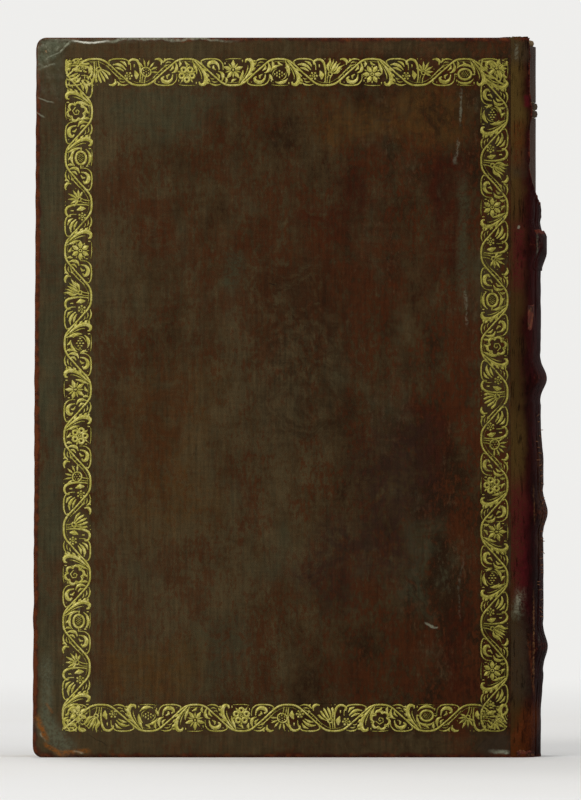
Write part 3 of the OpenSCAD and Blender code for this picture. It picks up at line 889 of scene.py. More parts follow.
def cover_skin(side):
    """Calf over a board, open towards the joint and inside its turn-ins."""
    corner, edge, turn_in = (wanted("cover", key) for key in ("corner", "edge", "turn_in"))
    step, fine = wanted("cover", "mesh_step"), wanted("cover", "fine_step")
    band, sunk = wanted("roll", "width"), wanted("roll", "sunk")
    width = JOINT_X - FORE_X
    left, right, low, high = border_box()
    rim = [0.0, 0.12, 0.4, 0.8, edge]
    xs = ruled(rim + [left - 0.1], fine) + ruled(
        [left + 0.1, turn_in, left + band - 0.1, left + band + 0.1, right - band - 0.1, right - band + 0.1,
         right - 0.1, right + 0.1, width - 0.35, width], step)
    zs = ruled(rim + [low - 0.1], 1.2) + ruled(
        [low + 0.1, turn_in, low + band - 0.1, low + band + 0.1, HEIGHT - 36], step)
    zs += ruled([HEIGHT - 35, high - band - 0.1, high - band + 0.1, HEIGHT - turn_in, high - 0.1, high + 0.1]
                + [HEIGHT - r for r in reversed(rim)], fine)
    skin = fresh_cube(((0, len(xs) - 2), (2, len(zs) - 2), (1, 1)))
    wear = skin.verts.layers.float.new("wear")
    crumpled_and_sheen = skin.verts.layers.float.new("crumple")
    gone = []
    for v in skin.verts:
        i, j, k = grid_place(v.co.x, len(xs) - 1), grid_place(v.co.y, 2), grid_place(v.co.z, len(zs) - 1)
        x, z = xs[i], zs[k]
        inset = min(x, z, HEIGHT - z)
        a, b = 1 - x / corner, 1 - min(z, HEIGHT - z) / corner
        if a > 0 and b > 0:
            reach = max(a, b)
            shrink = reach / math.hypot(a, b)
            inset = corner * (1 - reach)
            x = corner - a * shrink * corner
            z = corner - b * shrink * corner if z < HEIGHT / 2 else HEIGHT - corner + b * shrink * corner
        rolled = edge - math.sqrt(edge * edge - (edge - min(inset, edge)) ** 2)
        if j == 0:
            depth = rolled + face_depth(x, z, side) * ease(-0.3, 1.2, inset)
            if in_border(x, z):
                depth += sunk
        elif j == 2:
            depth = CASE_T - rolled
            if x > turn_in + 0.01 and turn_in + 0.01 < z < HEIGHT - turn_in - 0.01:
                gone.append(v)
        else:
            depth = 0.5 * CASE_T
        corner_near = math.hypot(min(x, 60), min(z, HEIGHT - z, 60))
        handled = 0.5 + 0.5 * wobble(x, z, 16, 7.0 if side == "back" else 9.0)
        fore = 1.0 if x < min(z, HEIGHT - z) else 0.7
        rim_wear = fore * ease(2.4 + 1.4 * handled, 0.7, inset) * (0.55 + 0.45 * handled)
        v[wear] = 0.4 + 0.25 * handled if j == 1 else max(rim_wear, 0.5 * ease(8, 2, corner_near))
        # The crumple attribute marks where painted sheen, with real rubbing, goes on the creased corner and
        # along the head.
        v[crumpled_and_sheen] = crumple_sheen_share(x, HEIGHT - z, inset) if side == "back" and j == 0 else 0.0
        outward = 0.28 * wobble(z if inset == x else x, depth, 5.5, 3.0) * ease(3, 0, inset)
        shift = fore_shift(x, z) if side == "back" else 0.0
        if x < 8:
            shift += outward
        v.co = (FORE_X + x + shift, depth - HALF_T, min(HEIGHT, max(0.0, z)))
    bmesh.ops.delete(skin, geom=gone, context="VERTS")
    joint_side = [f for f in skin.faces if all(v.co.x > JOINT_X - 0.01 for v in f.verts)]
    bmesh.ops.delete(skin, geom=joint_side, context="FACES")
    if side == "front":
        mirrored(skin)
    return skin


class FOLIO_OT_cover_calf(bpy.types.Operator):
    """Lay worn calf over both boards"""

    bl_idname = "folio.cover_calf"
    bl_label = "Cover calf"

    def execute(self, context):
        looks = palette()
        for side, _ in SIDES:
            marks = BACK_MARKS if side == "back" else ()
            material = calf_material(f"cover_calf_{side}", looks, 0.0 if side == "back" else 3.0, marks)
            piece = add_piece(f"{side}_cover_calf", cover_skin(side), material, f"{side}_cover",
                              [f"{side}_leather"])
            thicken(piece, wanted("cover", "skin"))
        return {"FINISHED"}


# Marks on the lower cover and on the spine beside its joint

def marks_from(start, rows):
    """Marks from rows of colour, distance from a start, height, turn, half length, half width, how broken
    up a mark is and how strong."""
    return [(key, (start + x, -HALF_T, z), math.radians(turn), *rest) for key, x, z, turn, *rest in rows]


BACK_MARKS = marks_from(0.0, (
    ("scuffs_and_highlights", 57.2, 55.6, -32, 2.9, 0.7, 0.3, 0.5),
    ("scuffs_and_highlights", 59.8, 54.4, -8, 1.8, 0.5, 0.3, 0.4),
    ("spine_dark_and_shade", -8.2, 197.6, -18, 1.6, 0.4, 0.2, 0.6),
    ("scuffs_and_highlights", 71.3, 271.0, 88, 9.0, 0.8, 1.0, 0.25),
    ("scuffs_and_highlights", 69.4, 252.0, 86, 7.0, 1.2, 1.0, 0.2),
    ("scuffs_and_highlights", 72.4, 188.0, 92, 9.0, 0.8, 1.0, 0.22),
    ("scuffs_and_highlights", 71.0, 70.0, 89, 16.0, 0.6, 1.0, 0.07),
    ("grey", 71.6, 216.0, 90, 34.0, 3.4, 0.8, 0.6),
    ("grey", -24.0, 203.0, 80, 10.0, 6.0, 0.8, 0.6),
    # Painted highlights: a bright shine on the head edge with a fainter one along it, and pale lines on the
    # ridges and creases of the fore-edge head corner, partly real scuffs.
    ("head_edge_highlight", -84.6, 298.9, 0, 8.5, 0.6, 0.3, 1.0),
    ("scuffs_and_highlights", -62.0, 298.8, 0, 44.0, 0.8, 0.6, 0.55),
    ("scuffs_and_highlights", -95.2, 295.8, 52, 4.6, 0.6, 0.7, 0.7),
    ("scuffs_and_highlights", -100.0, 291.5, 30, 3.8, 0.5, 0.7, 0.5),
    ("scuffs_and_highlights", -101.8, 287.0, 15, 3.4, 0.5, 0.7, 0.45),
    ("scuffs_and_highlights", -101.6, 273.9, -19, 4.2, 0.5, 0.5, 0.5),
    ("scuffs_and_highlights", -104.0, 268.2, -37, 2.8, 0.5, 0.2, 0.4),
    ("joint_grey", 84.5, 5.4, 30, 9.0, 6.0, 0.3, 0.8),
    # Painted highlight where the lifted tail corner by the joint catches the light.
    ("scuffs_and_highlights", 86.6, 2.9, 8, 4.8, 1.3, 0.6, 0.85),
    ("spine_dark_and_shade", 83.6, 5.4, 62, 6.0, 0.6, 0.4, 0.7),
    ("spine_dark_and_shade", 79.0, 5.0, 50, 5.0, 0.5, 0.4, 0.6),
    ("crumpled_and_sheen", -98.0, 9.0, -50, 13.0, 6.5, 0.6, 0.6),
    ("crumpled_and_sheen", -102.8, 26.0, 90, 20.0, 4.0, 0.6, 0.5),
    ("edge_bright", -103.7, 12.0, -64, 7.0, 1.8, 0.7, 0.9),
    ("edge_bright", -98.4, 3.4, -26, 6.5, 1.6, 0.7, 0.8),
    ("edge_bright", -90.6, 2.2, 0, 9.0, 1.5, 0.9, 0.7),
    ("edge_bright", -101.4, 20.8, -50, 3.4, 0.9, 0.6, 0.4),
    ("scuffs_and_highlights", -88.4, 1.9, -12, 2.6, 0.7, 0.8, 1.0),
    ("scuffs_and_highlights", -103.2, 8.6, -60, 2.6, 0.6, 0.9, 0.7),
    ("spine_dark_and_shade", -79.6, 7.0, -31, 5.6, 0.35, 0.3, 0.5),
    ("scuffs_and_highlights", -88.0, 60.0, 80, 4.0, 0.6, 0.6, 0.2),
))
BACK_ZONES = marks_from(0.0, (
    ("grey", -100.0, 150.0, 90, 170.0, 10.0, 0.5, 0.6),
    ("ground", -8.0, 5.0, 0, 110.0, 10.0, 0.5, 0.6),
    ("ground", -8.0, 296.0, 0, 110.0, 9.0, 0.5, 0.6),
    ("grey", -52.8, 267.7, 0, 30.0, 14.0, 0.6, 0.6),
    ("amber", 43.0, 265.6, 4, 42.0, 17.0, 0.7, 0.6),
    ("dark_red", 20.0, 227.0, 40, 21.0, 18.0, 0.8, 0.7),
    ("red", -57.0, 219.0, 90, 18.0, 12.0, 0.8, 0.7),
    ("amber", -50.0, 128.0, 90, 46.0, 28.0, 0.7, 0.4),
    ("red", -54.0, 140.0, 80, 26.0, 16.0, 0.9, 0.5),
    ("deep", 6.0, 168.0, 90, 50.0, 34.0, 0.8, 0.6),
    ("purple", 41.0, 107.0, 80, 44.0, 24.0, 0.8, 0.75),
    ("purple", 19.0, 82.0, 60, 22.0, 18.0, 0.8, 0.7),
    ("dark_red", 57.6, 132.0, 90, 20.0, 12.0, 0.7, 0.8),
    ("dark_red", 64.0, 226.0, 90, 34.0, 13.0, 0.6, 0.8),
    ("dark_red", 68.0, 45.0, 90, 26.0, 11.0, 0.7, 0.7),
    ("grey", 52.6, 79.0, 80, 24.0, 9.0, 0.8, 0.6),
    ("grey", -31.0, 41.0, 30, 24.0, 17.0, 0.9, 0.55),
    ("amber", -59.0, 38.0, 0, 28.0, 18.0, 0.6, 0.6),
    ("red", 8.0, 200.0, 0, 60.0, 34.0, 1.0, 0.6),
))
SPINE_ZONES = marks_from(JOINT_X, (
    ("joint_brown", 2.7, 126.5, 90, 22.0, 5.5, 0.3, 0.5),
    ("spine_bright", 3.2, 209.0, 90, 18.0, 4.2, 0.5, 0.75),
    ("spine_bright", 3.4, 89.0, 90, 34.0, 6.0, 0.4, 0.8),
    ("joint_grey", 3.6, 294.5, 0, 7.0, 8.0, 0.3, 0.7),
    ("joint_grey", 3.0, 247.5, 90, 8.0, 6.0, 0.5, 0.6),
    ("joint_grey", 3.4, 40.0, 90, 22.0, 7.0, 0.4, 0.8),
    ("joint_tail", 4.6, 6.0, 74, 22.0, 8.0, 0.5, 1.0),
    ("joint_tail", 2.8, 256.0, 90, 12.0, 4.0, 0.7, 0.7),
    ("crumpled_and_sheen", 3.2, 64.0, 80, 9.0, 4.0, 0.9, 0.42),
    ("tan", 13.9, 108.0, 90, 34.0, 3.2, 1.0, 0.18),
))
SPINE_MARKS = marks_from(JOINT_X, (
    ("edge_worn", 8.6, 38.0, 96, 16.0, 1.0, 1.0, 0.5),
    ("edge_worn", 4.0, 12.0, 60, 10.0, 3.0, 1.0, 0.3),
    ("spine_dark_and_shade", 6.4, 15.0, 80, 12.0, 1.4, 1.0, 0.6),
    ("tan", 9.6, 48.0, 90, 24.0, 0.6, 1.0, 0.55),
    ("scuffs_and_highlights", 2.9, 64.0, 80, 5.0, 1.6, 1.0, 0.35),
    ("scuffs_and_highlights", 3.3, 221.0, 70, 0.9, 0.6, 0.3, 0.5),
    ("scuffs_and_highlights", 11.2, 217.0, 90, 20.0, 0.6, 0.9, 0.28),
    ("tan", 9.8, 105.0, 92, 10.0, 0.5, 0.9, 0.25),
    ("scuffs_and_highlights", 12.4, 62.0, 88, 18.0, 0.45, 0.9, 0.2),
    ("scuffs_and_highlights", 14.2, 47.0, 90, 8.0, 0.4, 0.9, 0.2),
    ("scuffs_and_highlights", 2.4, 294.0, 90, 4.0, 1.2, 0.9, 0.2),
    ("spine_bright", 6.7, 273.5, 90, 3.2, 1.8, 0.2, 0.9),
))


# Gold roll

def ring(u, v, half_u, half_v, width, points=12):
    """A closed ring of the roll."""
    turns = [2 * math.pi * k / points for k in range(points + 1)]
    return [(u + half_u * math.cos(t), v + half_v * math.sin(t)) for t in turns], (width, width, width), 1


def petal(u, v, angle, start, end, width, bend=0.0):
    """A petal or a lobe of the roll, which points away from a middle and may bend aside."""
    a = math.radians(angle)
    out, aside = Vector((math.cos(a), math.sin(a))), Vector((-math.sin(a), math.cos(a)))
    spots = [Vector((u, v)) + out * r + aside * bend * k for r, k in
             ((start, 0.0), (0.5 * (start + end), 0.35), (end, 1.0))]
    return spots, (0.5 * width, width, 0.25 * width), 2


def dot(u, v, size):
    """A berry or a bead of the roll."""
    return [(u - 0.25 * size, v), (u, v), (u + 0.25 * size, v)], (0.8 * size, size, 0.8 * size), 1


def turned(strokes, u, v, angle, size=1.0):
    """Strokes drawn round the origin, turned and moved to a place in the scroll."""
    a = math.radians(angle)
    cos, sin = size * math.cos(a), size * math.sin(a)
    return [([(u + p[0] * cos - p[1] * sin, v + p[0] * sin + p[1] * cos) for p in points],
             tuple(size * w for w in widths), parts) for points, widths, parts in strokes]


def around(count, first=0.0):
    """Evenly spaced angles of a full turn."""
    return [first + 360.0 * k / count for k in range(count)]


def arc(u, v, half_u, half_v, start, end, widths, points=6):
    """A part of an oval, such as a crescent leaf or a curl."""
    turns = [math.radians(start + (end - start) * k / (points - 1)) for k in range(points)]
    return [(u + half_u * math.cos(a), v + half_v * math.sin(a)) for a in turns], widths, 2


# The ten heads of the roll, each drawn round the origin

def oval_head():
    hatch = [([(s - 0.9, -1.2), (s + 0.9, 1.2)], (0.3, 0.4, 0.3), 1) for s in (-1.35, -0.45, 0.45, 1.35)]
    cross = [([(s - 0.9, 1.2), (s + 0.9, -1.2)], (0.25, 0.3, 0.25), 1) for s in (-1.0, 0.0, 1.0)]
    crescents = [arc(0, 0, 4.3, 3.9, a, a + 115, (0.4, 1.35, 0.5)) for a in (35, 205)]
    tips = [petal(0, 0, a, 3.0, 4.6, 0.8) for a in (0, 178)]
    return [ring(0, 0, 2.7, 2.2, 1.0, 16)] + hatch + cross + crescents + tips


def fan_head():
    return [petal(-1.6, 0, a, 0.8, 5.0 - abs(a) / 60, 1.15) for a in (-88, -58, -29, 0, 29, 58, 88)] \
        + [ring(-1.9, 0, 0.7, 0.9, 0.6, 8)]


def rosette_head():
    return [petal(0, 0, a, 1.1, 3.9, 2.2) for a in around(6)] + [ring(0, 0, 0.6, 0.6, 0.6, 8)] \
        + [petal(0, 0, a, 2.6, 3.8, 0.7) for a in around(6, 30)]


def tulip_head():
    rows = [petal(-1.8, 0, 0, 0.2, 5.4, 1.5), ring(-2.4, 0, 0.7, 0.9, 0.6, 8)]
    for s in (-1, 1):
        rows.append(([(-2.0, 0.3 * s), (-0.4, 2.2 * s), (1.8, 2.3 * s), (3.9, 3.5 * s)], (0.5, 1.6, 0.3), 3))
        rows.append(([(-1.6, 0.2 * s), (0.2, 1.1 * s), (2.4, 1.15 * s), (3.8, 1.6 * s)], (0.3, 0.9, 0.25), 2))
    return rows


def rose_head():
    spiral = [(0.25 * k * math.cos(1.15 * k), 0.25 * k * math.sin(1.15 * k)) for k in range(9)]
    rows = [(spiral, (0.5, 0.55, 0.5), 1)]
    for a in around(6, 15):
        turn = math.radians(a)
        rows.append(arc(2.6 * math.cos(turn), 2.6 * math.sin(turn), 1.35, 1.35, a - 105, a + 105,
                        (0.6, 1.25, 0.6), 5))
    return rows + [petal(0, 0, a, 3.1, 4.3, 0.7) for a in around(6, 45)]


def star_head():
    return [petal(0, 0, a, 0.9, 4.2, 1.8) for a in around(5, 90)] \
        + [petal(0, 0, a, 1.0, 3.4, 0.9) for a in around(5, 126)] + [dot(0, 0, 1.4)]


def flower_head():
    rows = [ring(0, 0, 0.5, 0.5, 0.5, 8)]
    for a in around(5, 18):
        turn = math.radians(a)
        rows.append(ring(2.25 * math.cos(turn), 2.25 * math.sin(turn), 1.0, 1.0, 1.05, 9))
        rows.append(petal(0, 0, a + 36, 2.6, 4.2, 0.9))
    return rows


def thistle_head():
    spots = ((-2.2, 0.7), (-2.2, -0.7), (-1.3, 0), (-1.3, 1.2), (-1.3, -1.2), (-0.4, 0.6), (-0.4, -0.6))
    scales = [dot(x, y, 0.75) for x, y in spots]
    return [ring(-1.4, 0, 1.9, 2.1, 0.7, 11)] + scales \
        + [petal(-1.4, 0, a, 2.4, 5.2, 1.0) for a in (-64, -38, -13, 13, 38, 64)]


def striped_head():
    lines = [[(-2.6, 0.25 * s), (-0.2, 0.9 * s), (2.4 - 0.12 * s * s, 1.05 * s), (3.2 - 0.2 * s * s, 1.2 * s)]
             for s in (-3, -1.5, 0, 1.5, 3)]
    return [(line, (0.5, 1.15, 0.4), 2) for line in lines] + [ring(-2.8, 0, 0.9, 1.1, 0.6, 8)]


def fruit_head():
    spots = ((0, 0), (1.05, 0.6), (-1.05, 0.6), (0, 1.25), (1.05, -0.65), (-1.05, -0.65), (0, -1.3), (2.0, 0),
             (-2.0, 0))
    leaves = ((3.9, 3.6, 60, 150, (0.4, 1.6, 0.5)), (3.9, 3.6, 165, 235, (0.4, 1.5, 0.4)),
              (3.8, 3.6, 265, 345, (0.4, 1.5, 0.4)), (3.8, 3.6, 0, 45, (0.4, 1.3, 0.4)),
              (2.8, 2.5, 100, 200, (0.3, 0.5, 0.3)), (2.8, 2.5, 290, 380, (0.3, 0.5, 0.3)))
    return [dot(x, y, 1.0) for x, y in spots] + [arc(0, 0, *leaf) for leaf in leaves]


# Strokes of the scroll: their points, their widths at start, middle and end, and parts to a span.
# The stem of a scroll crosses the middle and runs along the lower side.
STEM = (
    ([(-1.2, 1.05), (0.0, 0.0), (2.8, -2.6), (5.0, -4.4), (7.0, -5.25), (9.8, -5.5), (12.4, -5.2),
      (14.4, -4.2), (16.4, -2.5), (18.2, -0.95), (SCROLL_LENGTH, 0.0)], (0.75, 0.95, 0.75), 3),
    ([(3.3, -1.3), (5.6, -3.2), (7.7, -4.2), (9.8, -4.45), (12.0, -4.1), (13.4, -3.3)],
     (0.25, 0.32, 0.22), 2),
    ([(13.7, 0.9), (13.9, 3.4), (15.6, 5.2), (18.6, 5.55), (21.3, 5.35), (22.9, 4.5), (22.5, 3.5)],
     (0.45, 0.75, 0.5), 2),
    ([(14.6, -5.0), (16.4, -5.5), (18.4, -5.1), (19.2, -4.4)], (0.35, 0.85, 0.4), 2),
    ([(16.0, -4.0), (17.4, -4.2), (18.5, -3.6)], (0.3, 0.7, 0.3), 2),
    ([(17.3, -2.8), (18.4, -2.9), (19.1, -2.3)], (0.3, 0.6, 0.3), 2),
)
ROUND_SCROLL = (
    ([(6.4, -4.8), (4.2, -2.4), (2.1, 0.6), (1.5, 3.4), (2.6, 5.2), (4.1, 5.0), (4.3, 4.0)],
     (0.45, 1.2, 0.5), 2),
    ([(5.9, -3.4), (4.3, -0.8), (3.4, 1.6), (3.4, 3.0)], (0.3, 0.6, 0.3), 2),
    ([(7.2, -4.8), (6.4, -2.8), (5.6, -0.8), (5.4, 0.8)], (0.3, 0.9, 0.35), 2),
    petal(3.4, -1.4, 168, 0.3, 2.4, 0.9, -0.5),
    petal(2.2, 0.6, 160, 0.3, 2.4, 0.9, -0.5),
    petal(1.5, 2.6, 150, 0.2, 2.2, 0.9, -0.4),
    petal(1.8, 4.4, 165, 0.2, 2.0, 0.7, 0.3),
    ([(15.4, 1.0), (15.8, 3.0), (17.4, 4.2), (19.3, 3.8), (19.9, 2.6), (19.0, 1.9)], (0.4, 1.15, 0.5), 2),
    ([(16.6, 0.9), (17.8, 1.7), (17.6, 2.8)], (0.3, 0.7, 0.35), 2),
    ([(14.3, -4.0), (13.7, -2.2), (14.2, -0.4), (15.8, 0.4)], (0.35, 1.0, 0.35), 2),
    ([(15.4, -3.0), (15.4, -1.6), (16.6, -0.6)], (0.3, 0.75, 0.3), 2),
    ([(12.6, -4.6), (12.2, -3.4), (12.6, -2.2)], (0.3, 0.85, 0.3), 2),
    ([(10.2, -4.4), (9.6, -3.4), (8.2, -2.9)], (0.35, 0.8, 0.3), 2),
    ([(6.0, 5.5), (8.4, 5.6), (11.0, 5.55), (12.8, 5.2)], (0.3, 0.5, 0.3), 2),
    dot(5.6, 4.6, 0.8), dot(12.9, 3.6, 0.75), dot(13.0, 1.8, 0.6), dot(6.9, -2.0, 0.55), dot(12.2, 4.5, 0.5),
    dot(21.2, 4.2, 0.6),
)
LONG_SCROLL = (
    ([(-3.0, 3.4), (-0.4, 2.1), (2.2, -0.3), (4.6, -2.9)], (0.4, 0.6, 0.35), 2),
    dot(-1.2, 1.9, 0.55), dot(0.6, 0.6, 0.55), dot(2.2, -1.1, 0.6), dot(3.6, -2.5, 0.5),
    ([(8.0, -4.7), (7.7, -2.6), (6.8, -0.8)], (0.5, 0.55, 0.45), 2),
    ([(9.0, -4.5), (8.8, -2.2), (7.9, -0.2)], (0.4, 0.5, 0.35), 2),
    ([(9.9, -4.3), (9.6, -1.4), (9.9, 2.4), (11.0, 4.8), (13.0, 5.3), (14.6, 4.2), (14.3, 3.1)],
     (0.4, 0.75, 0.5), 2),
    ([(11.3, -3.0), (11.2, -1.2), (12.0, 0.6)], (0.4, 1.5, 0.35), 2),
    ([(1.0, 3.0), (0.8, 4.6), (2.2, 5.5), (3.6, 5.2)], (0.4, 0.9, 0.4), 2),
    ([(0.2, 3.9), (-0.8, 5.0), (-0.2, 5.6)], (0.35, 0.7, 0.35), 2),
    dot(12.2, 2.6, 1.0), dot(3.0, 1.2, 0.6), dot(9.9, 5.5, 0.6), dot(8.4, 5.4, 0.5),
    ring(14.6, -1.6, 0.5, 0.5, 0.45, 7),
) + tuple(petal(14.6, -1.6, a, 0.9, 1.8, 0.8) for a in around(6)) + (
    ([(15.8, 0.9), (17.2, 2.4), (19.4, 3.3), (21.2, 3.0)], (0.35, 0.95, 0.35), 2),
    ([(16.6, 0.4), (18.4, 1.5), (20.2, 1.8)], (0.3, 0.8, 0.3), 2),
    ([(15.4, 2.2), (16.4, 3.8), (18.2, 4.5)], (0.3, 0.8, 0.3), 2),
)
# Where a head stands in its scroll, and its turn: in the round scroll and in the long one.
ROUND_AT, LONG_AT = (9.5, 0.9, 0), (6.6, 1.3, 118)
# Strokes at least this thick in the middle are leaves and are drawn this much wider; thinner ones are veins.
THINNEST_LEAF, LEAF_WIDTH = 0.65, 1.5
# The heads in the order of the roll, and whether each stands in the round scroll.
HEADS = ((oval_head, True), (fan_head, False), (rosette_head, True), (tulip_head, False), (fruit_head, True),
         (star_head, True), (flower_head, True), (thistle_head, False), (striped_head, False),
         (rose_head, True))


def scroll_strokes(head, is_round):
    """All strokes of one scroll with its flower head."""
    at, around_head = (ROUND_AT, ROUND_SCROLL) if is_round else (LONG_AT, LONG_SCROLL)
    leaves = [(points, tuple(LEAF_WIDTH * w for w in widths) if widths[1] >= THINNEST_LEAF else widths, parts)
              for points, widths, parts in around_head]
    return list(STEM) + leaves + turned(head(), *at)


# Where the oval head falls on each side of the border, in X or in Z.
OVAL_AT = {"left": 249.8, "tail": 56.3, "right": 190.6, "head": 72.2}


def impressions():
    """Start, direction, inward direction, length and place of the oval head on each run of the roll."""
    half = 0.5 * wanted("roll", "width")
    left, right = FORE_X + wanted("roll", "fore"), JOINT_X - wanted("roll", "joint")
    low, high = wanted("roll", "tail"), HEIGHT - wanted("roll", "head")
    up, across = Vector((0, 1)), Vector((1, 0))
    return (
        (Vector((left + half, high)), -up, across, high - low, high - OVAL_AT["left"]),
        (Vector((left, low + half)), across, up, right - left, OVAL_AT["tail"] - left),
        (Vector((right - half, low)), up, -across, high - low, OVAL_AT["right"] - low),
        (Vector((right, high - half)), -across, -up, right - left, right - OVAL_AT["head"]),
    )


def stroke_width(widths, t):
    """Width of a stroke at a share of its length, from its widths at start, middle and end."""
    first, middle, last = widths
    if t < 0.5:
        return first + (middle - first) * ease(0, 0.5, t)
    return middle + (last - middle) * ease(0.5, 1, t)


# The roll's strokes end this far from the end of a run.
ROLL_END = 0.2


def roll_strokes():
    """All strokes of the border, on the plane of the cover."""
    unit = wanted("roll", "unit")
    grow_u, grow_v = unit / SCROLL_LENGTH, wanted("roll", "width") / SCROLL_WIDTH
    scrolls = [scroll_strokes(*head) for head in HEADS]
    drawn = []
    for start, along, inward, length, oval in impressions():
        first = math.floor(-oval / unit) - 1
        for k in range(first, math.ceil((length - oval) / unit) + 2):
            begin = oval + (k - ROUND_AT[0] / SCROLL_LENGTH) * unit
            if begin > length + 4 or begin + unit < -4:
                continue
            flip = 1 if k % 2 == 0 else -1
            for points, widths, parts in scrolls[k % len(HEADS)]:
                line = smooth_line(points, parts) if parts > 1 else [Vector(p) for p in points]
                spots, wides = [], []
                for n, p in enumerate(line):
                    t = n / max(1, len(line) - 1)
                    u = begin + p.x * grow_u
                    if ROLL_END < u < length - ROLL_END:
                        spots.append(start + along * u + inward * (flip * p.y * grow_v))
                        wides.append(stroke_width(widths, t))
                    elif len(spots) > 1:
                        drawn.append((spots, wides))
                        spots, wides = [], []
                if len(spots) > 1:
                    drawn.append((spots, wides))
    return drawn


class FOLIO_OT_gold_roll(bpy.types.Operator):
    """Tool the gold roll border into both covers"""

    bl_idname = "folio.gold_roll"
    bl_label = "Gold roll"

    def execute(self, context):
        material = gold_material(palette())
        sunk = wanted("roll", "sunk")
        for side, sign in SIDES:
            mesh = stroke_mesh(f"{side}_gold_roll", roll_strokes())
            # Each stroke's height above the cover, kept for the painted highlight on its top and the painted
            # shade at its edges.
            ridge = mesh.attributes.new("ridge", "FLOAT", "POINT")
            ridge.data.foreach_set("value", [max(0.0, vertex.co.z / MM) for vertex in mesh.vertices])

            def place(spot):
                x, z = spot.x - FORE_X, spot.y
                shift = fore_shift(x, z) if side == "back" else 0.0
                swell = math.copysign(abs(spot.z) ** 0.7, spot.z)
                depth = face_depth(x, z, side) + sunk - 0.04 - 0.42 * swell
                return spot.x + shift, sign * (HALF_T - depth), z

            moved(mesh, place)
            if side == "back":
                mesh.flip_normals()
            finish_piece(f"{side}_gold_roll", mesh, material, f"{side}_cover",
                         [f"{side}_gilt_border"], 30)
        return {"FINISHED"}


# Back of the book

def back_arcs():
    """Shoulder radius, crown radius, half width of the crown and its angle."""
    shoulder = wanted("spine", "shoulder")
    rise = PAGES_HIGH.x - BACK_X - shoulder
    half = BACK_HALF - shoulder
    crown = shoulder + (rise * rise + half * half) / (2 * rise)
    return shoulder, crown, half, math.degrees(math.asin(half / (crown - shoulder)))


def back_point(angle, out):
    """A point of the back at an angle, a distance outside the pages."""
    shoulder, crown, half, split = back_arcs()
    a = math.radians(angle)
    if abs(angle) <= split:
        return PAGES_HIGH.x - crown + (crown + out) * math.cos(a), (crown + out) * math.sin(a)
    return BACK_X + (shoulder + out) * math.cos(a), math.copysign(half, a) + (shoulder + out) * math.sin(a)


def back_arc(angle, out=1.9):
    """Distance round the back from its middle."""
    shoulder, crown, half, split = back_arcs()
    a = abs(angle)
    return (crown + out) * math.radians(min(a, split)) + (shoulder + out) * math.radians(max(0, a - split))


def back_angles(step, limit=90.0):
    """Angles round the back, evenly spaced along it."""
    shoulder, crown, _, split = back_arcs()
    on_shoulder = max(2, round((shoulder + 2) * math.radians(limit - split) / step))
    on_crown = max(4, round(2 * (crown + 2) * math.radians(split) / step))
    side = [-limit + (limit - split) * k / on_shoulder for k in range(on_shoulder)]
    middle = [-split + 2 * split * k / on_crown for k in range(on_crown + 1)]
    return side + middle + [-a for a in reversed(side)]


# Middles of the raised bands, head to tail.
BAND_HEIGHTS = (270.0, 214.0, 158.0, 102.0, 46.0)


def band_share(z, width):
    """How full the raised bands stand at a height, from 0 to 1."""
    near = min(abs(z - band) for band in BAND_HEIGHTS)
    return math.cos(math.pi * near / width) ** 2 if near < width / 2 else 0.0


def band_fade(angle):
    """Bands stand full on the crown and die away towards the joints."""
    split = back_arcs()[3]
    return 1.0 if abs(angle) <= split else math.sin(math.radians(90 * (90 - abs(angle)) / (90 - split))) ** 2


def back_sheet(angles, heights, outer):
    """A grid bent round the back; outer gives its distance outside the pages."""
    sheet = fresh_grid(len(angles) - 1, len(heights) - 1)
    turned = sheet.verts.layers.float.new("turned")
    for v in sheet.verts:
        angle = angles[grid_place(v.co.x, len(angles) - 1)]
        z = heights[grid_place(v.co.y, len(heights) - 1)]
        v[turned] = angle
        x, y = back_point(angle, outer(angle, z))
        v.co = (x, y, z)
    return sheet


def loss_edge(angle, z):
    """How deep a point of the back lies in the lost leather, in millimetres; below 0 the leather is kept."""
    side = 1.0 if angle < 0 else 4.0
    low = HEIGHT - wanted("spine", "loss")
    strip = 20.2 + 1.1 * wobble(z, 0, 7, side) + 0.5 * wobble(z, 0, 2, side + 1)
    ragged = 2.2 * wobble(angle, z, 9, 2.0) + 0.9 * wobble(angle, z, 2.5, 3.0)
    half = strip * ease(low - 8, low + 12, z + 1.6 * ragged) ** 0.45
    if half < 0.5:
        return -10.0
    return half - back_arc(angle) + 0.6 * wobble(back_arc(angle), z, 2.2, side + 2)


# Long cracks of the spine: distance round the back from its middle, depth, and seed of their breaks.
SPINE_CRACKS = ((-14.5, 0.65, 1.0), (-11.0, 0.4, 2.0), (15.5, 0.6, 3.0), (10.0, 0.35, 4.0), (2.5, 0.4, 5.0),
                (-4.0, 0.3, 6.0))
# Distance from a band's middle to the hollows where its leather was tied down.
TIED_AT = 9.5
# The leather beside a joint is pressed flat past this distance from the book's middle plane, and rises by
# no more than the give, so that an open cover clears it.
SHOULDER = 22.1
SHOULDER_GIVE = 0.4
# No scrap of leather stands further off the pages than this.
PROUDEST = 5.3


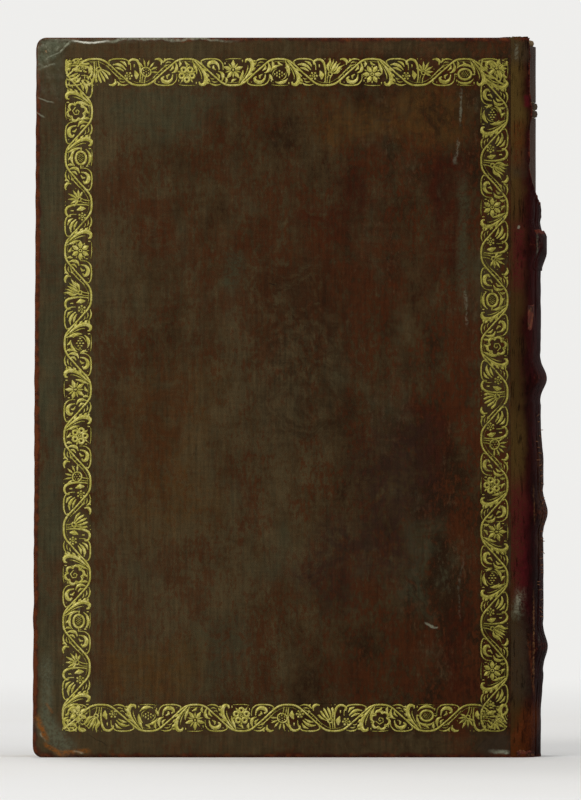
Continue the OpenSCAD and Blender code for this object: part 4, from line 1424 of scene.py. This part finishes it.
def spine_outer(angle, z):
    """Face of the spine leather: bands, tie-down hollows, wrinkles, long cracks and a lifted torn edge."""
    share = band_share(z, wanted("spine", "band"))
    fade = band_fade(angle)
    crown = ease(80, 58, abs(angle))
    loose = ease(18, 36, z) * ease(140, 122, z) * crown
    kept = 1 - 0.75 * ease(235, 250, z)
    out = 1.95 + 0.8 * crown + 1.1 * loose + (wanted("spine", "rise") - 0.7 * loose) * share * fade * kept
    near = min(abs(z - band) for band in BAND_HEIGHTS)
    out -= 0.25 * fade * ease(2.2, 0, abs(near - TIED_AT))
    arc = math.copysign(back_arc(angle), angle)
    drift = 1.3 * wobble(z, 0, 26, 1.0) + 0.4 * wobble(z, 0, 6, 2.0)
    for middle, deep, seed in SPINE_CRACKS:
        share = ease(0.05, 0.5, 0.35 + wobble(z, 0, 22, seed))
        out -= deep * share * ease(0.9, 0.0, abs(arc - middle - drift))
    calm = 0.25 + 0.75 * ease(90, 60, abs(angle))
    out += calm * (0.16 * wobble(arc, z, 5.5, 7.0) + 0.1 * wobble(arc, z * 0.5, 1.8, 8.0))
    lift = ease(-3.5, 0.0, loss_edge(angle, z)) * (0.35 + 0.5 * abs(wobble(arc, z, 4.0, 9.0)))
    return out + lift * (1 if abs(angle) < 75 else 0.2)


def open_rim(shape):
    """Edges that only one face uses."""
    return [e for e in shape.edges if len(e.link_faces) == 1]


def smooth_rim(shape, keep, rounds=3):
    """Evens the steps of a torn edge; keep says which vertices stay."""
    for _ in range(rounds):
        ways = {}
        for e in open_rim(shape):
            a, b = e.verts
            ways.setdefault(a, []).append(b)
            ways.setdefault(b, []).append(a)
        moves = {v: (v.co + sum((w.co for w in near), Vector()) / len(near)) / 2
                 for v, near in ways.items() if len(near) == 2 and not keep(v)}
        for v, spot in moves.items():
            v.co = spot


class FOLIO_OT_spine_calf(bpy.types.Operator):
    """Lay the torn, cracked leather of the spine over its raised bands"""

    bl_idname = "folio.spine_calf"
    bl_label = "Spine calf"

    def execute(self, context):
        angles = back_angles(0.75)
        skin = back_sheet(angles, ruled([0.1, HEIGHT - 0.1], 1.05), spine_outer)
        turned = skin.verts.layers.float["turned"]
        lost = []
        for f in skin.faces:
            angle = sum(v[turned] for v in f.verts) / 4
            z = f.calc_center_median().z
            if loss_edge(angle, z) > 0:
                lost.append(f)
        bmesh.ops.delete(skin, geom=lost, context="FACES")
        smooth_rim(skin, lambda v: v.co.z < 0.11 or v.co.z > HEIGHT - 0.11 or abs(v[turned]) > 89.9)
        torn = skin.verts.layers.float.new("torn")
        for v in skin.verts:
            edge = ease(-1.3, 0.4, loss_edge(v[turned], v.co.z))
            band = ease(0.4, 1.0, band_share(v.co.z, wanted("spine", "band")) * band_fade(v[turned]))
            ends = max(ease(2.5, 0, v.co.z), ease(3, 0, HEIGHT - v.co.z))
            v[torn] = max(edge, 0.4 * band, 0.7 * ends)
            proud = abs(v.co.y) - SHOULDER
            if proud > 0:
                pressed = SHOULDER + SHOULDER_GIVE * (1 - math.exp(-proud / SHOULDER_GIVE))
                v.co.y = math.copysign(pressed, v.co.y)
        skin.verts.layers.float.remove(turned)
        piece = add_piece("spine_calf", skin, spine_material(palette()), "book_block",
                          ["spine_leather"], 50)
        thicken(piece, wanted("spine", "skin"))
        return {"FINISHED"}


def shred(rows, columns, place):
    """A small torn scrap: a grid placed by two shares from 0 to 1."""
    scrap = fresh_grid(columns, rows)
    for v in scrap.verts:
        v.co = place((v.co.x + 1) / 2, (v.co.y + 1) / 2)
    return scrap


class FOLIO_OT_torn_scraps(bpy.types.Operator):
    """Add the curled flaps, scraps and frayed fibres of the torn spine"""

    bl_idname = "folio.torn_scraps"
    bl_label = "Torn scraps"

    def execute(self, context):
        looks = palette()
        flesh = shred_material(looks)

        def flap(s, t):
            z = 203.0 + 17.0 * t + 0.8 * wobble(s, t, 0.3, 1)
            angle = -22 + 30 * s + 3 * wobble(t, 0, 0.3, 2)
            lift = 2.4 * s * s + 0.5 * wobble(s, t, 0.25, 3) + 0.5 * t * s
            lift *= 1 - 0.6 * abs(2 * t - 1)
            x, y = back_point(angle, min(PROUDEST, spine_outer(angle, z) + 0.1 + lift))
            return x, y, z

        def tan_scrap(s, t):
            z = 178.5 + 10.0 * t + 0.9 * wobble(s, t, 0.3, 4)
            angle = -47 + 24 * s * (0.6 + 0.4 * t)
            x, y = back_point(angle, spine_outer(angle, z) + 0.12 + 0.5 * s * t)
            return x, y, z

        def head_shred(s, t):
            x = JOINT_X + 0.55 + 6.7 * s
            y = -HALF_T + 0.75 + 0.9 * s * s + 1.1 * t
            return x, y, HEIGHT - 0.3 + 0.75 * math.sin(math.pi * t) + 0.25 * wobble(s, t, 0.2, 5)

        def tail_shred(s, t):
            x = JOINT_X + 2.6 + 7.0 * s
            y = back_point(-78 + 36 * s, 2.2 + 0.5 * t + 0.35 * wobble(s, t, 0.3, 6))[1]
            return x, y, 0.7 + 2.8 * t * (0.6 + 0.5 * abs(wobble(s, 0, 0.12, 7)))

        def cover_shred(s, t):
            x = JOINT_X - 6.6 + 6.5 * s
            y = -HALF_T + 0.7 + 1.3 * t + 0.2 * wobble(s, t, 0.2, 8)
            rise = 0.6 * math.sin(math.pi * t) * (0.3 + 0.7 * s)
            return x, y, HEIGHT - 0.25 + rise + 0.12 * wobble(s, t, 0.15, 9)

        red = spine_material(looks)
        shapes = (("band_flap", flap, 14, 10, 0.5, red), ("tan_scrap", tan_scrap, 12, 8, 0.3, flesh),
                  ("head_shred", head_shred, 5, 20, 0.35, red),
                  ("tail_shred", tail_shred, 5, 22, 0.35, flesh))
        for name, place, rows, columns, thickness, material in shapes:
            scrap = shred(rows, columns, place)
            if name == "band_flap":
                torn = scrap.verts.layers.float.new("torn")
                for v in scrap.verts:
                    v[torn] = ease(217.0, 219.5, v.co.z)
            piece = add_piece(name, scrap, material, "book_block")
            thicken(piece, thickness)
        fibres = []
        for k in range(34):
            z = 58.0 + 84.0 * k / 33 + 3.0 * wobble(k, 0, 1.3, 1)
            angle = -16 + 9 * wobble(k, 0, 0.7, 2)
            out = spine_outer(angle, z) - 0.3
            reach = 1.0 + 1.3 * abs(wobble(k, 0, 0.9, 3)) if out < 4.5 else 0.5
            drop = 2.5 * wobble(k, 0, 0.8, 4)
            line = [(*back_point(angle + 2 * t * t, out + reach * math.sin(2.2 * t)), z + drop * t)
                    for t in (0, 0.4, 0.75, 1)]
            fibres.append((smooth_line(line, 2), [0.34, 0.32, 0.3, 0.26, 0.22, 0.16, 0.08]))
        mesh = stroke_mesh("spine_fibres", fibres)
        hemp = fibre_material("frayed_fibres", looks.tan, looks.flesh, 3.0, looks)
        finish_piece("spine_fibres", mesh, hemp, "book_block")
        piece = add_piece("cover_head_shred", shred(4, 26, cover_shred), flesh, "back_cover")
        thicken(piece, 0.3)
        return {"FINISHED"}


def wound_thread(angles, middle, out, wide, high, full=lambda angle: 1.0):
    """A thread wound round a core that follows the back; full says how thick the core is at an angle."""
    line = []
    for n, angle in enumerate(angles):
        turn = 2 * math.pi * n / 7
        x, y = back_point(angle, out + wide * full(angle) * math.cos(turn))
        line.append((x, y, middle + high * full(angle) * math.sin(turn)))
    return line


class FOLIO_OT_bare_back(bpy.types.Operator):
    """Show the sewing cord and the glued paper where the spine leather is lost"""

    bl_idname = "folio.bare_back"
    bl_label = "Bare back"

    def execute(self, context):
        looks = palette()
        paper = paper_material("spine_paper_glued", looks.lining, looks.lining_dark, 0.4, looks, 0.15)
        for number in (1, 2):
            low, high = node_box(f"spine_lining_{number}")

            def outer(angle, z):
                folds = 0.5 + 0.5 * math.cos(2 * math.pi * back_arc(angle) / 3.1)
                ragged = 0.06 * wobble(back_arc(angle), z, 4, number)
                return 0.5 + 0.16 * folds + ragged

            sheet = back_sheet(back_angles(0.8, 88), ruled([low.z, high.z], 3.0), outer)
            sheet.verts.layers.float.remove(sheet.verts.layers.float["turned"])
            piece = add_piece(f"bare_lining_{number}", sheet, paper, "book_block",
                              [f"spine_lining_{number}"])
            thicken(piece, 0.4)
        hemp = fibre_material("hemp_cord_worn", looks.cord, looks.cord_dark, 1.6, looks)
        rope = []
        for offset in (-1.55, 1.55):
            middle = BAND_HEIGHTS[0] + offset
            angles = back_angles(1.2, 87)
            core = [(*back_point(a, 0.5), middle) for a in angles]
            rope.append((core, [1.3 * (0.35 + 0.65 * band_fade(a)) for a in angles]))
            wraps = wound_thread(back_angles(0.16, 86), middle, 0.5, 0.65, 1.3,
                                 lambda a: 0.25 + 0.75 * band_fade(a))
            rope.append((wraps, [0.5] * len(wraps)))
        mesh = stroke_mesh("bare_cord", rope, 1)
        finish_piece("bare_cord", mesh, hemp, "book_block", ["sewing_cord_1"], 70)
        return {"FINISHED"}


class FOLIO_OT_endbands(bpy.types.Operator):
    """Wind the linen endbands at head and tail"""

    bl_idname = "folio.endbands"
    bl_label = "Endbands"

    def execute(self, context):
        looks = palette()
        linen = fibre_material("endband_linen", looks.thread, looks.thread_dark, 2.2, looks)
        angles = back_angles(0.085, 84)
        for name in ("head_endband", "tail_endband"):
            low, high = node_box(name)
            middle, half = (low.z + high.z) / 2, (high.z - low.z) / 2
            core = [(*back_point(a, -1.25), middle) for a in back_angles(1.5, 84)]
            wound = wound_thread(angles, middle, -1.25, 0.95, half - 0.25)
            strokes = [(core, [2.0] * len(core)), (wound, [0.5] * len(wound))]
            mesh = stroke_mesh(f"{name}_wound", strokes, 1)
            finish_piece(f"{name}_wound", mesh, linen, "book_block", [name], 70)
        return {"FINISHED"}


# Pages and papers

class FOLIO_OT_pages(bpy.types.Operator):
    """Cut the block of pages, with the lines of its leaves at all three edges"""

    bl_idname = "folio.pages"
    bl_label = "Pages"

    def execute(self, context):
        half = -PASTE_HIGH.y - 0.3
        slices = 120
        hollow = 5.0
        radius = (half * half + hollow * hollow) / (2 * hollow)
        xs = [0.0, 0.02, 0.06, 0.25, 0.5, 0.75, 1.0]
        backs = 4
        columns = len(xs) + backs
        block = fresh_grid(columns, slices)
        for v in block.verts:
            i, j = grid_place(v.co.x, columns), grid_place(v.co.y, slices)
            share = 2 * j / slices - 1
            y = half * share
            leaf = 0.0 if j in (0, slices) else (0.16 if j % 2 else 0.0) + 0.12 * wobble(j, 0, 3.3, 1)
            fore = PAGES_LOW.x + hollow - radius + math.sqrt(radius * radius - y * y) + leaf
            if i < len(xs):
                x = fore + (JOINT_X + 0.05 - fore) * xs[i]
            else:
                t = (i - len(xs)) / backs
                x, flared = back_point(90 * share, -0.02 - 0.12 * (j % 2))
                y = BACK_HALF * share + (flared - BACK_HALF * share) * t
                x = BACK_X + (x - BACK_X) * t
            v.co = (x, y, PAGES_LOW.z)
        made = bmesh.ops.extrude_face_region(block, geom=block.faces[:])
        upper = [g for g in made["geom"] if isinstance(g, bmesh.types.BMVert)]
        bmesh.ops.translate(block, vec=(0, 0, PAGES_HIGH.z - PAGES_LOW.z), verts=upper)
        tall = [e for e in block.edges if abs(e.verts[0].co.z - e.verts[1].co.z) > 1]
        bmesh.ops.subdivide_edges(block, edges=tall, cuts=11, use_grid_fill=True)
        bmesh.ops.recalc_face_normals(block, faces=block.faces)
        for v in block.verts:
            leaf = round((v.co.y / half + 1) / 2 * slices)
            inside = abs(v.co.y) < half - 0.1
            if inside and (v.co.z < PAGES_LOW.z + 0.01 or v.co.z > PAGES_HIGH.z - 0.01):
                sink = (0.14 if leaf % 2 else 0.0) + 0.1 * abs(wobble(leaf, 0, 3.1, 2))
                v.co.z += sink if v.co.z < 100 else -sink
            elif inside and v.co.x < PAGES_LOW.x + 6:
                v.co.x += 0.12 * wobble(leaf, v.co.z, 40, 3)
        edges = page_material(palette())
        add_piece("page_block", block, edges, "book_block", ["text_block"], 25)
        return {"FINISHED"}


class FOLIO_OT_endpapers(bpy.types.Operator):
    """Paste the endpapers inside both covers and hinge them to the pages"""

    bl_idname = "folio.endpapers"
    bl_label = "Endpapers"

    def execute(self, context):
        looks = palette()
        paper = paper_material("endpaper_toned", looks.page, looks.page_toned, 0.9, looks)
        size = PASTE_HIGH - PASTE_LOW
        for side, sign in SIDES:
            sheet = fresh_cube(((0, 43), (2, 61)))
            for v in sheet.verts:
                s, t, inner = (v.co.x + 1) / 2, (v.co.z + 1) / 2, v.co.y > 0
                x = PASTE_LOW.x + size.x * s + (0.35 * wobble(t * 300, 0, 18, 1) if s == 0 else 0)
                z = PASTE_LOW.z + size.z * t + (0.3 * wobble(s * 200, 0, 18, 2) if t in (0, 1) else 0)
                turn_in = min(x - FORE_X, z, HEIGHT - z) - wanted("cover", "turn_in")
                ghost = 0.1 * ease(0, 1.5, turn_in) + 0.04 + 0.04 * wobble(x, z, 20, sign)
                y = PASTE_HIGH.y - ghost if inner else PASTE_LOW.y
                v.co = (x, y, z)
            if side == "front":
                mirrored(sheet)
            add_piece(f"{side}_endpaper", sheet, paper, f"{side}_cover", [f"{side}_pastedown"])
            cover, block = JOINT_X + 0.07, JOINT_X + 0.42
            inner, outer = -PASTE_HIGH.y - 0.02, HALF_T - 1.5
            line = [(JOINT_X - 1.6, inner - 0.08), (JOINT_X - 0.35, inner - 0.06), (cover, inner + 0.25),
                    (cover, inner + 1.5), (cover, outer - 0.6), (cover + 0.05, outer - 0.15),
                    ((cover + block) / 2, outer), (block - 0.05, outer - 0.15), (block, outer - 0.6),
                    (block, -PASTE_HIGH.y + 0.4)]
            hinge = fresh_grid(len(line) - 1, 30)
            low, high = PASTE_LOW.z, PASTE_HIGH.z
            for v in hinge.verts:
                x, y = line[grid_place(v.co.x, len(line) - 1)]
                v.co = (x, sign * y, low + (high - low) * (v.co.y + 1) / 2)
            bmesh.ops.recalc_face_normals(hinge, faces=hinge.faces)
            bmesh.ops.solidify(hinge, geom=hinge.faces[:], thickness=0.05)
            piece = add_piece(f"{side}_paper_hinge", hinge, paper, None)
            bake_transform(piece, "book_block", f"{side}_cover", (block * MM, 0, 0), (cover * MM, 0, 0))
        return {"FINISHED"}


class FOLIO_OT_joints(bpy.types.Operator):
    """Carry the calf across both joints, from the covers to the spine"""

    bl_idname = "folio.joints"
    bl_label = "Joints"

    def execute(self, context):
        material = spine_material(palette())
        material.name = "joint_calf"
        # Distance from the joint and depth below the cover's face, across the strip.
        profile = ((-0.7, 0.3), (-0.35, 0.32), (0.0, 0.38), (0.3, 0.42), (0.6, 0.4), (1.0, 0.36), (1.6, 0.36))
        heights = ruled([0.25, HEIGHT + 0.15], 2.4)
        for side, sign in SIDES:
            strip = fresh_grid(len(profile) - 1, len(heights) - 1)
            torn = strip.verts.layers.float.new("torn")
            for v in strip.verts:
                off, depth = profile[grid_place(v.co.x, len(profile) - 1)]
                z = heights[grid_place(v.co.y, len(heights) - 1)]
                crack = ease(0.1, 0.5, wobble(z, 0, 5, sign)) if abs(off - 0.15) < 0.3 else 0.0
                v[torn] = 0.5 * crack
                v.co = (JOINT_X + off, sign * (HALF_T - depth - 0.1 * crack), z)
            bmesh.ops.recalc_face_normals(strip, faces=strip.faces)
            if sum(f.normal.y for f in strip.faces) * sign < 0:
                bmesh.ops.reverse_faces(strip, faces=strip.faces)
            bmesh.ops.solidify(strip, geom=strip.faces[:], thickness=0.12)
            piece = add_piece(f"{side}_joint_calf", strip, material, None)
            on_block, on_cover = (JOINT_X + 0.7) * MM, (JOINT_X - 0.5) * MM
            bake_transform(piece, "book_block", f"{side}_cover", (on_block, 0, 0), (on_cover, 0, 0))
        return {"FINISHED"}


class FOLIO_OT_hidden_parts(bpy.types.Operator):
    """Give the boards, slips, cords and papers inside the book their materials"""

    bl_idname = "folio.hidden_parts"
    bl_label = "Hidden parts"

    def execute(self, context):
        looks = palette()
        board = board_material(looks)
        hemp = fibre_material("hemp_cord_laced", looks.cord, looks.cord_dark, 1.6, looks)
        lining = paper_material("spine_paper_clean", looks.lining, looks.lining_dark, 0.4, looks, 0.12)
        infill = paper_material("infill_paper", looks.page_toned, looks.board, 0.4, looks)
        for name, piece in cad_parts.items():
            if piece.hide_render:
                continue
            if name.endswith("_board"):
                chosen, slot = board, "pasteboard"
            elif "cord" in name:
                chosen, slot = hemp, "hemp_cord"
            elif name.endswith("_infill"):
                chosen, slot = infill, "endpaper"
            elif name.startswith("spine_lining"):
                chosen, slot = lining, "spine_paper"
            else:
                raise RuntimeError(f"the CAD node {name} has no material yet")
            piece.data.materials.clear()
            piece.data.materials.append(chosen)
        return {"FINISHED"}


# Lamps: name, place, size, power in watts, and the height that each is aimed at, in metres.
LAMPS = (
    ("key", (-1.6, -2.2, 1.9), 1.6, 48.0, 0.15),
    ("fill", (1.9, -1.9, 1.0), 1.8, 25.0, 0.15),
    ("top", (0.2, 0.2, 2.6), 1.6, 18.5, 0.1),
    ("rear", (-0.8, 1.6, 1.6), 1.4, 13.5, 0.15),
)
SKY_COLOUR = (0.95, 0.97, 1.0, 1.0)
SKY_STRENGTH = 0.26
FLOOR_RADIUS = 9.0
# Distances from the book, in millimetres, between which the floor runs into the background.
FLOOR_FADE = (450.0, 1700.0)
SENSOR = 24.0
FARTHEST = 40.0


def background_share(tree):
    """1 for a ray that shows the background, seen straight, in a gloss or through glass."""
    rays = lay(tree, "ShaderNodeLightPath").outputs
    share = maths(tree, "ADD", rays["Is Camera Ray"], rays["Is Glossy Ray"])
    return maths(tree, "ADD", share, rays["Is Transmission Ray"], clamp=True)


class FOLIO_OT_stage(bpy.types.Operator):
    """Set the pale floor, the soft lamps and the camera"""

    bl_idname = "folio.stage"
    bl_label = "Stage"

    def execute(self, context):
        looks = palette()
        scene = context.scene
        floor = bmesh.new()
        bmesh.ops.create_circle(floor, cap_ends=True, segments=96, radius=FLOOR_RADIUS)
        mesh = to_mesh("floor", floor)
        material, tree, place, shader = new_material("floor_pale", Specular_IOR_Level=0.1)
        soft = cloud(tree, place, 0.002, 2.0)
        pale = tint(tree, stretch(tree, soft, 0.3, 0.7, 0.0, 0.06), looks.floor, looks.page)
        feed(tree, shader, Base_Color=pale, Roughness=stretch(tree, soft, 0.2, 0.8, 0.88, 0.92))
        away = lay(tree, "ShaderNodeVectorMath", {0: place}, operation="LENGTH").outputs["Value"]
        away = times(tree, stretch(tree, away, *FLOOR_FADE), background_share(tree))
        glow = lay(tree, "ShaderNodeEmission", {"Color": looks.backdrop, "Strength": 1.0}).outputs[0]
        both = lay(tree, "ShaderNodeMixShader", {0: away, 1: shader.outputs[0], 2: glow}).outputs[0]
        tree.links.new(both, tree.nodes["Material Output"].inputs["Surface"])
        mesh.materials.append(material)
        add_object("floor", mesh)
        for name, spot, size, power, aim in LAMPS:
            lamp = bpy.data.lights.new(name, "AREA")
            lamp.size = size
            lamp.energy = power
            holder = add_object(name, lamp)
            holder.location = spot
            holder.rotation_euler = (Vector((0, 0, aim)) - Vector(spot)).to_track_quat("-Z", "Y").to_euler()
        world = bpy.data.worlds.new("studio")
        scene.world = world
        world.use_nodes = True
        tree = world.node_tree
        sky = tree.nodes["Background"]
        plug(tree, sky, {"Color": SKY_COLOUR, "Strength": SKY_STRENGTH})
        pale = lay(tree, "ShaderNodeBackground", {"Color": looks.backdrop, "Strength": 1.0}).outputs[0]
        share = background_share(tree)
        both = lay(tree, "ShaderNodeMixShader", {0: share, 1: sky.outputs[0], 2: pale}).outputs[0]
        tree.links.new(both, tree.nodes["World Output"].inputs["Surface"])
        stage = settings("stage")
        lens = bpy.data.cameras.new("photo_view")
        lens.sensor_fit = "VERTICAL"
        lens.sensor_height = SENSOR
        lens.lens = SENSOR * stage.distance / stage.view
        lens.clip_end = FARTHEST
        camera = add_object("photo_view", lens)
        camera.location = (stage.aside, -HALF_T * MM - stage.distance, stage.height)
        camera.rotation_euler = (math.radians(90), 0, 0)
        scene.camera = camera
        scene.view_settings.view_transform = "Standard"
        return {"FINISHED"}


class FOLIO_PT_sidebar(bpy.types.Panel):
    """Steps and sizes of the folio"""

    bl_idname = "FOLIO_PT_sidebar"
    bl_label = "Antique Folio"
    bl_space_type = "VIEW_3D"
    bl_region_type = "UI"
    bl_category = "Folio"

    def draw(self, context):
        for step in STEPS:
            self.layout.operator(step.bl_idname)
        for name, group in GROUPS_OF_SETTINGS:
            box = self.layout.box()
            box.label(text=name.title())
            for key in group.__annotations__:
                box.prop(settings(name), key)


GROUPS_OF_SETTINGS = (("cover", FolioCover), ("roll", FolioRoll), ("spine", FolioSpine),
                      ("colours", FolioColours), ("stage", FolioStage))
STEPS = (FOLIO_OT_stage, FOLIO_OT_cover_calf, FOLIO_OT_gold_roll, FOLIO_OT_spine_calf, FOLIO_OT_joints,
         FOLIO_OT_torn_scraps, FOLIO_OT_bare_back, FOLIO_OT_endbands, FOLIO_OT_pages, FOLIO_OT_endpapers,
         FOLIO_OT_hidden_parts)


def register():
    for name, group in GROUPS_OF_SETTINGS:
        bpy.utils.register_class(group)
        setattr(bpy.types.Scene, "folio_" + name, bpy.props.PointerProperty(type=group))
    for step in STEPS:
        bpy.utils.register_class(step)
    bpy.utils.register_class(FOLIO_PT_sidebar)


def unregister():
    bpy.utils.unregister_class(FOLIO_PT_sidebar)
    for step in reversed(STEPS):
        bpy.utils.unregister_class(step)
    for name, group in reversed(GROUPS_OF_SETTINGS):
        delattr(bpy.types.Scene, "folio_" + name)
        bpy.utils.unregister_class(group)


def main():
    register()
    for make in GROUPS:
        make()
    for step in STEPS:
        group, name = step.bl_idname.split(".")
        getattr(getattr(bpy.ops, group), name)()


if __name__ == "__main__":
    main()
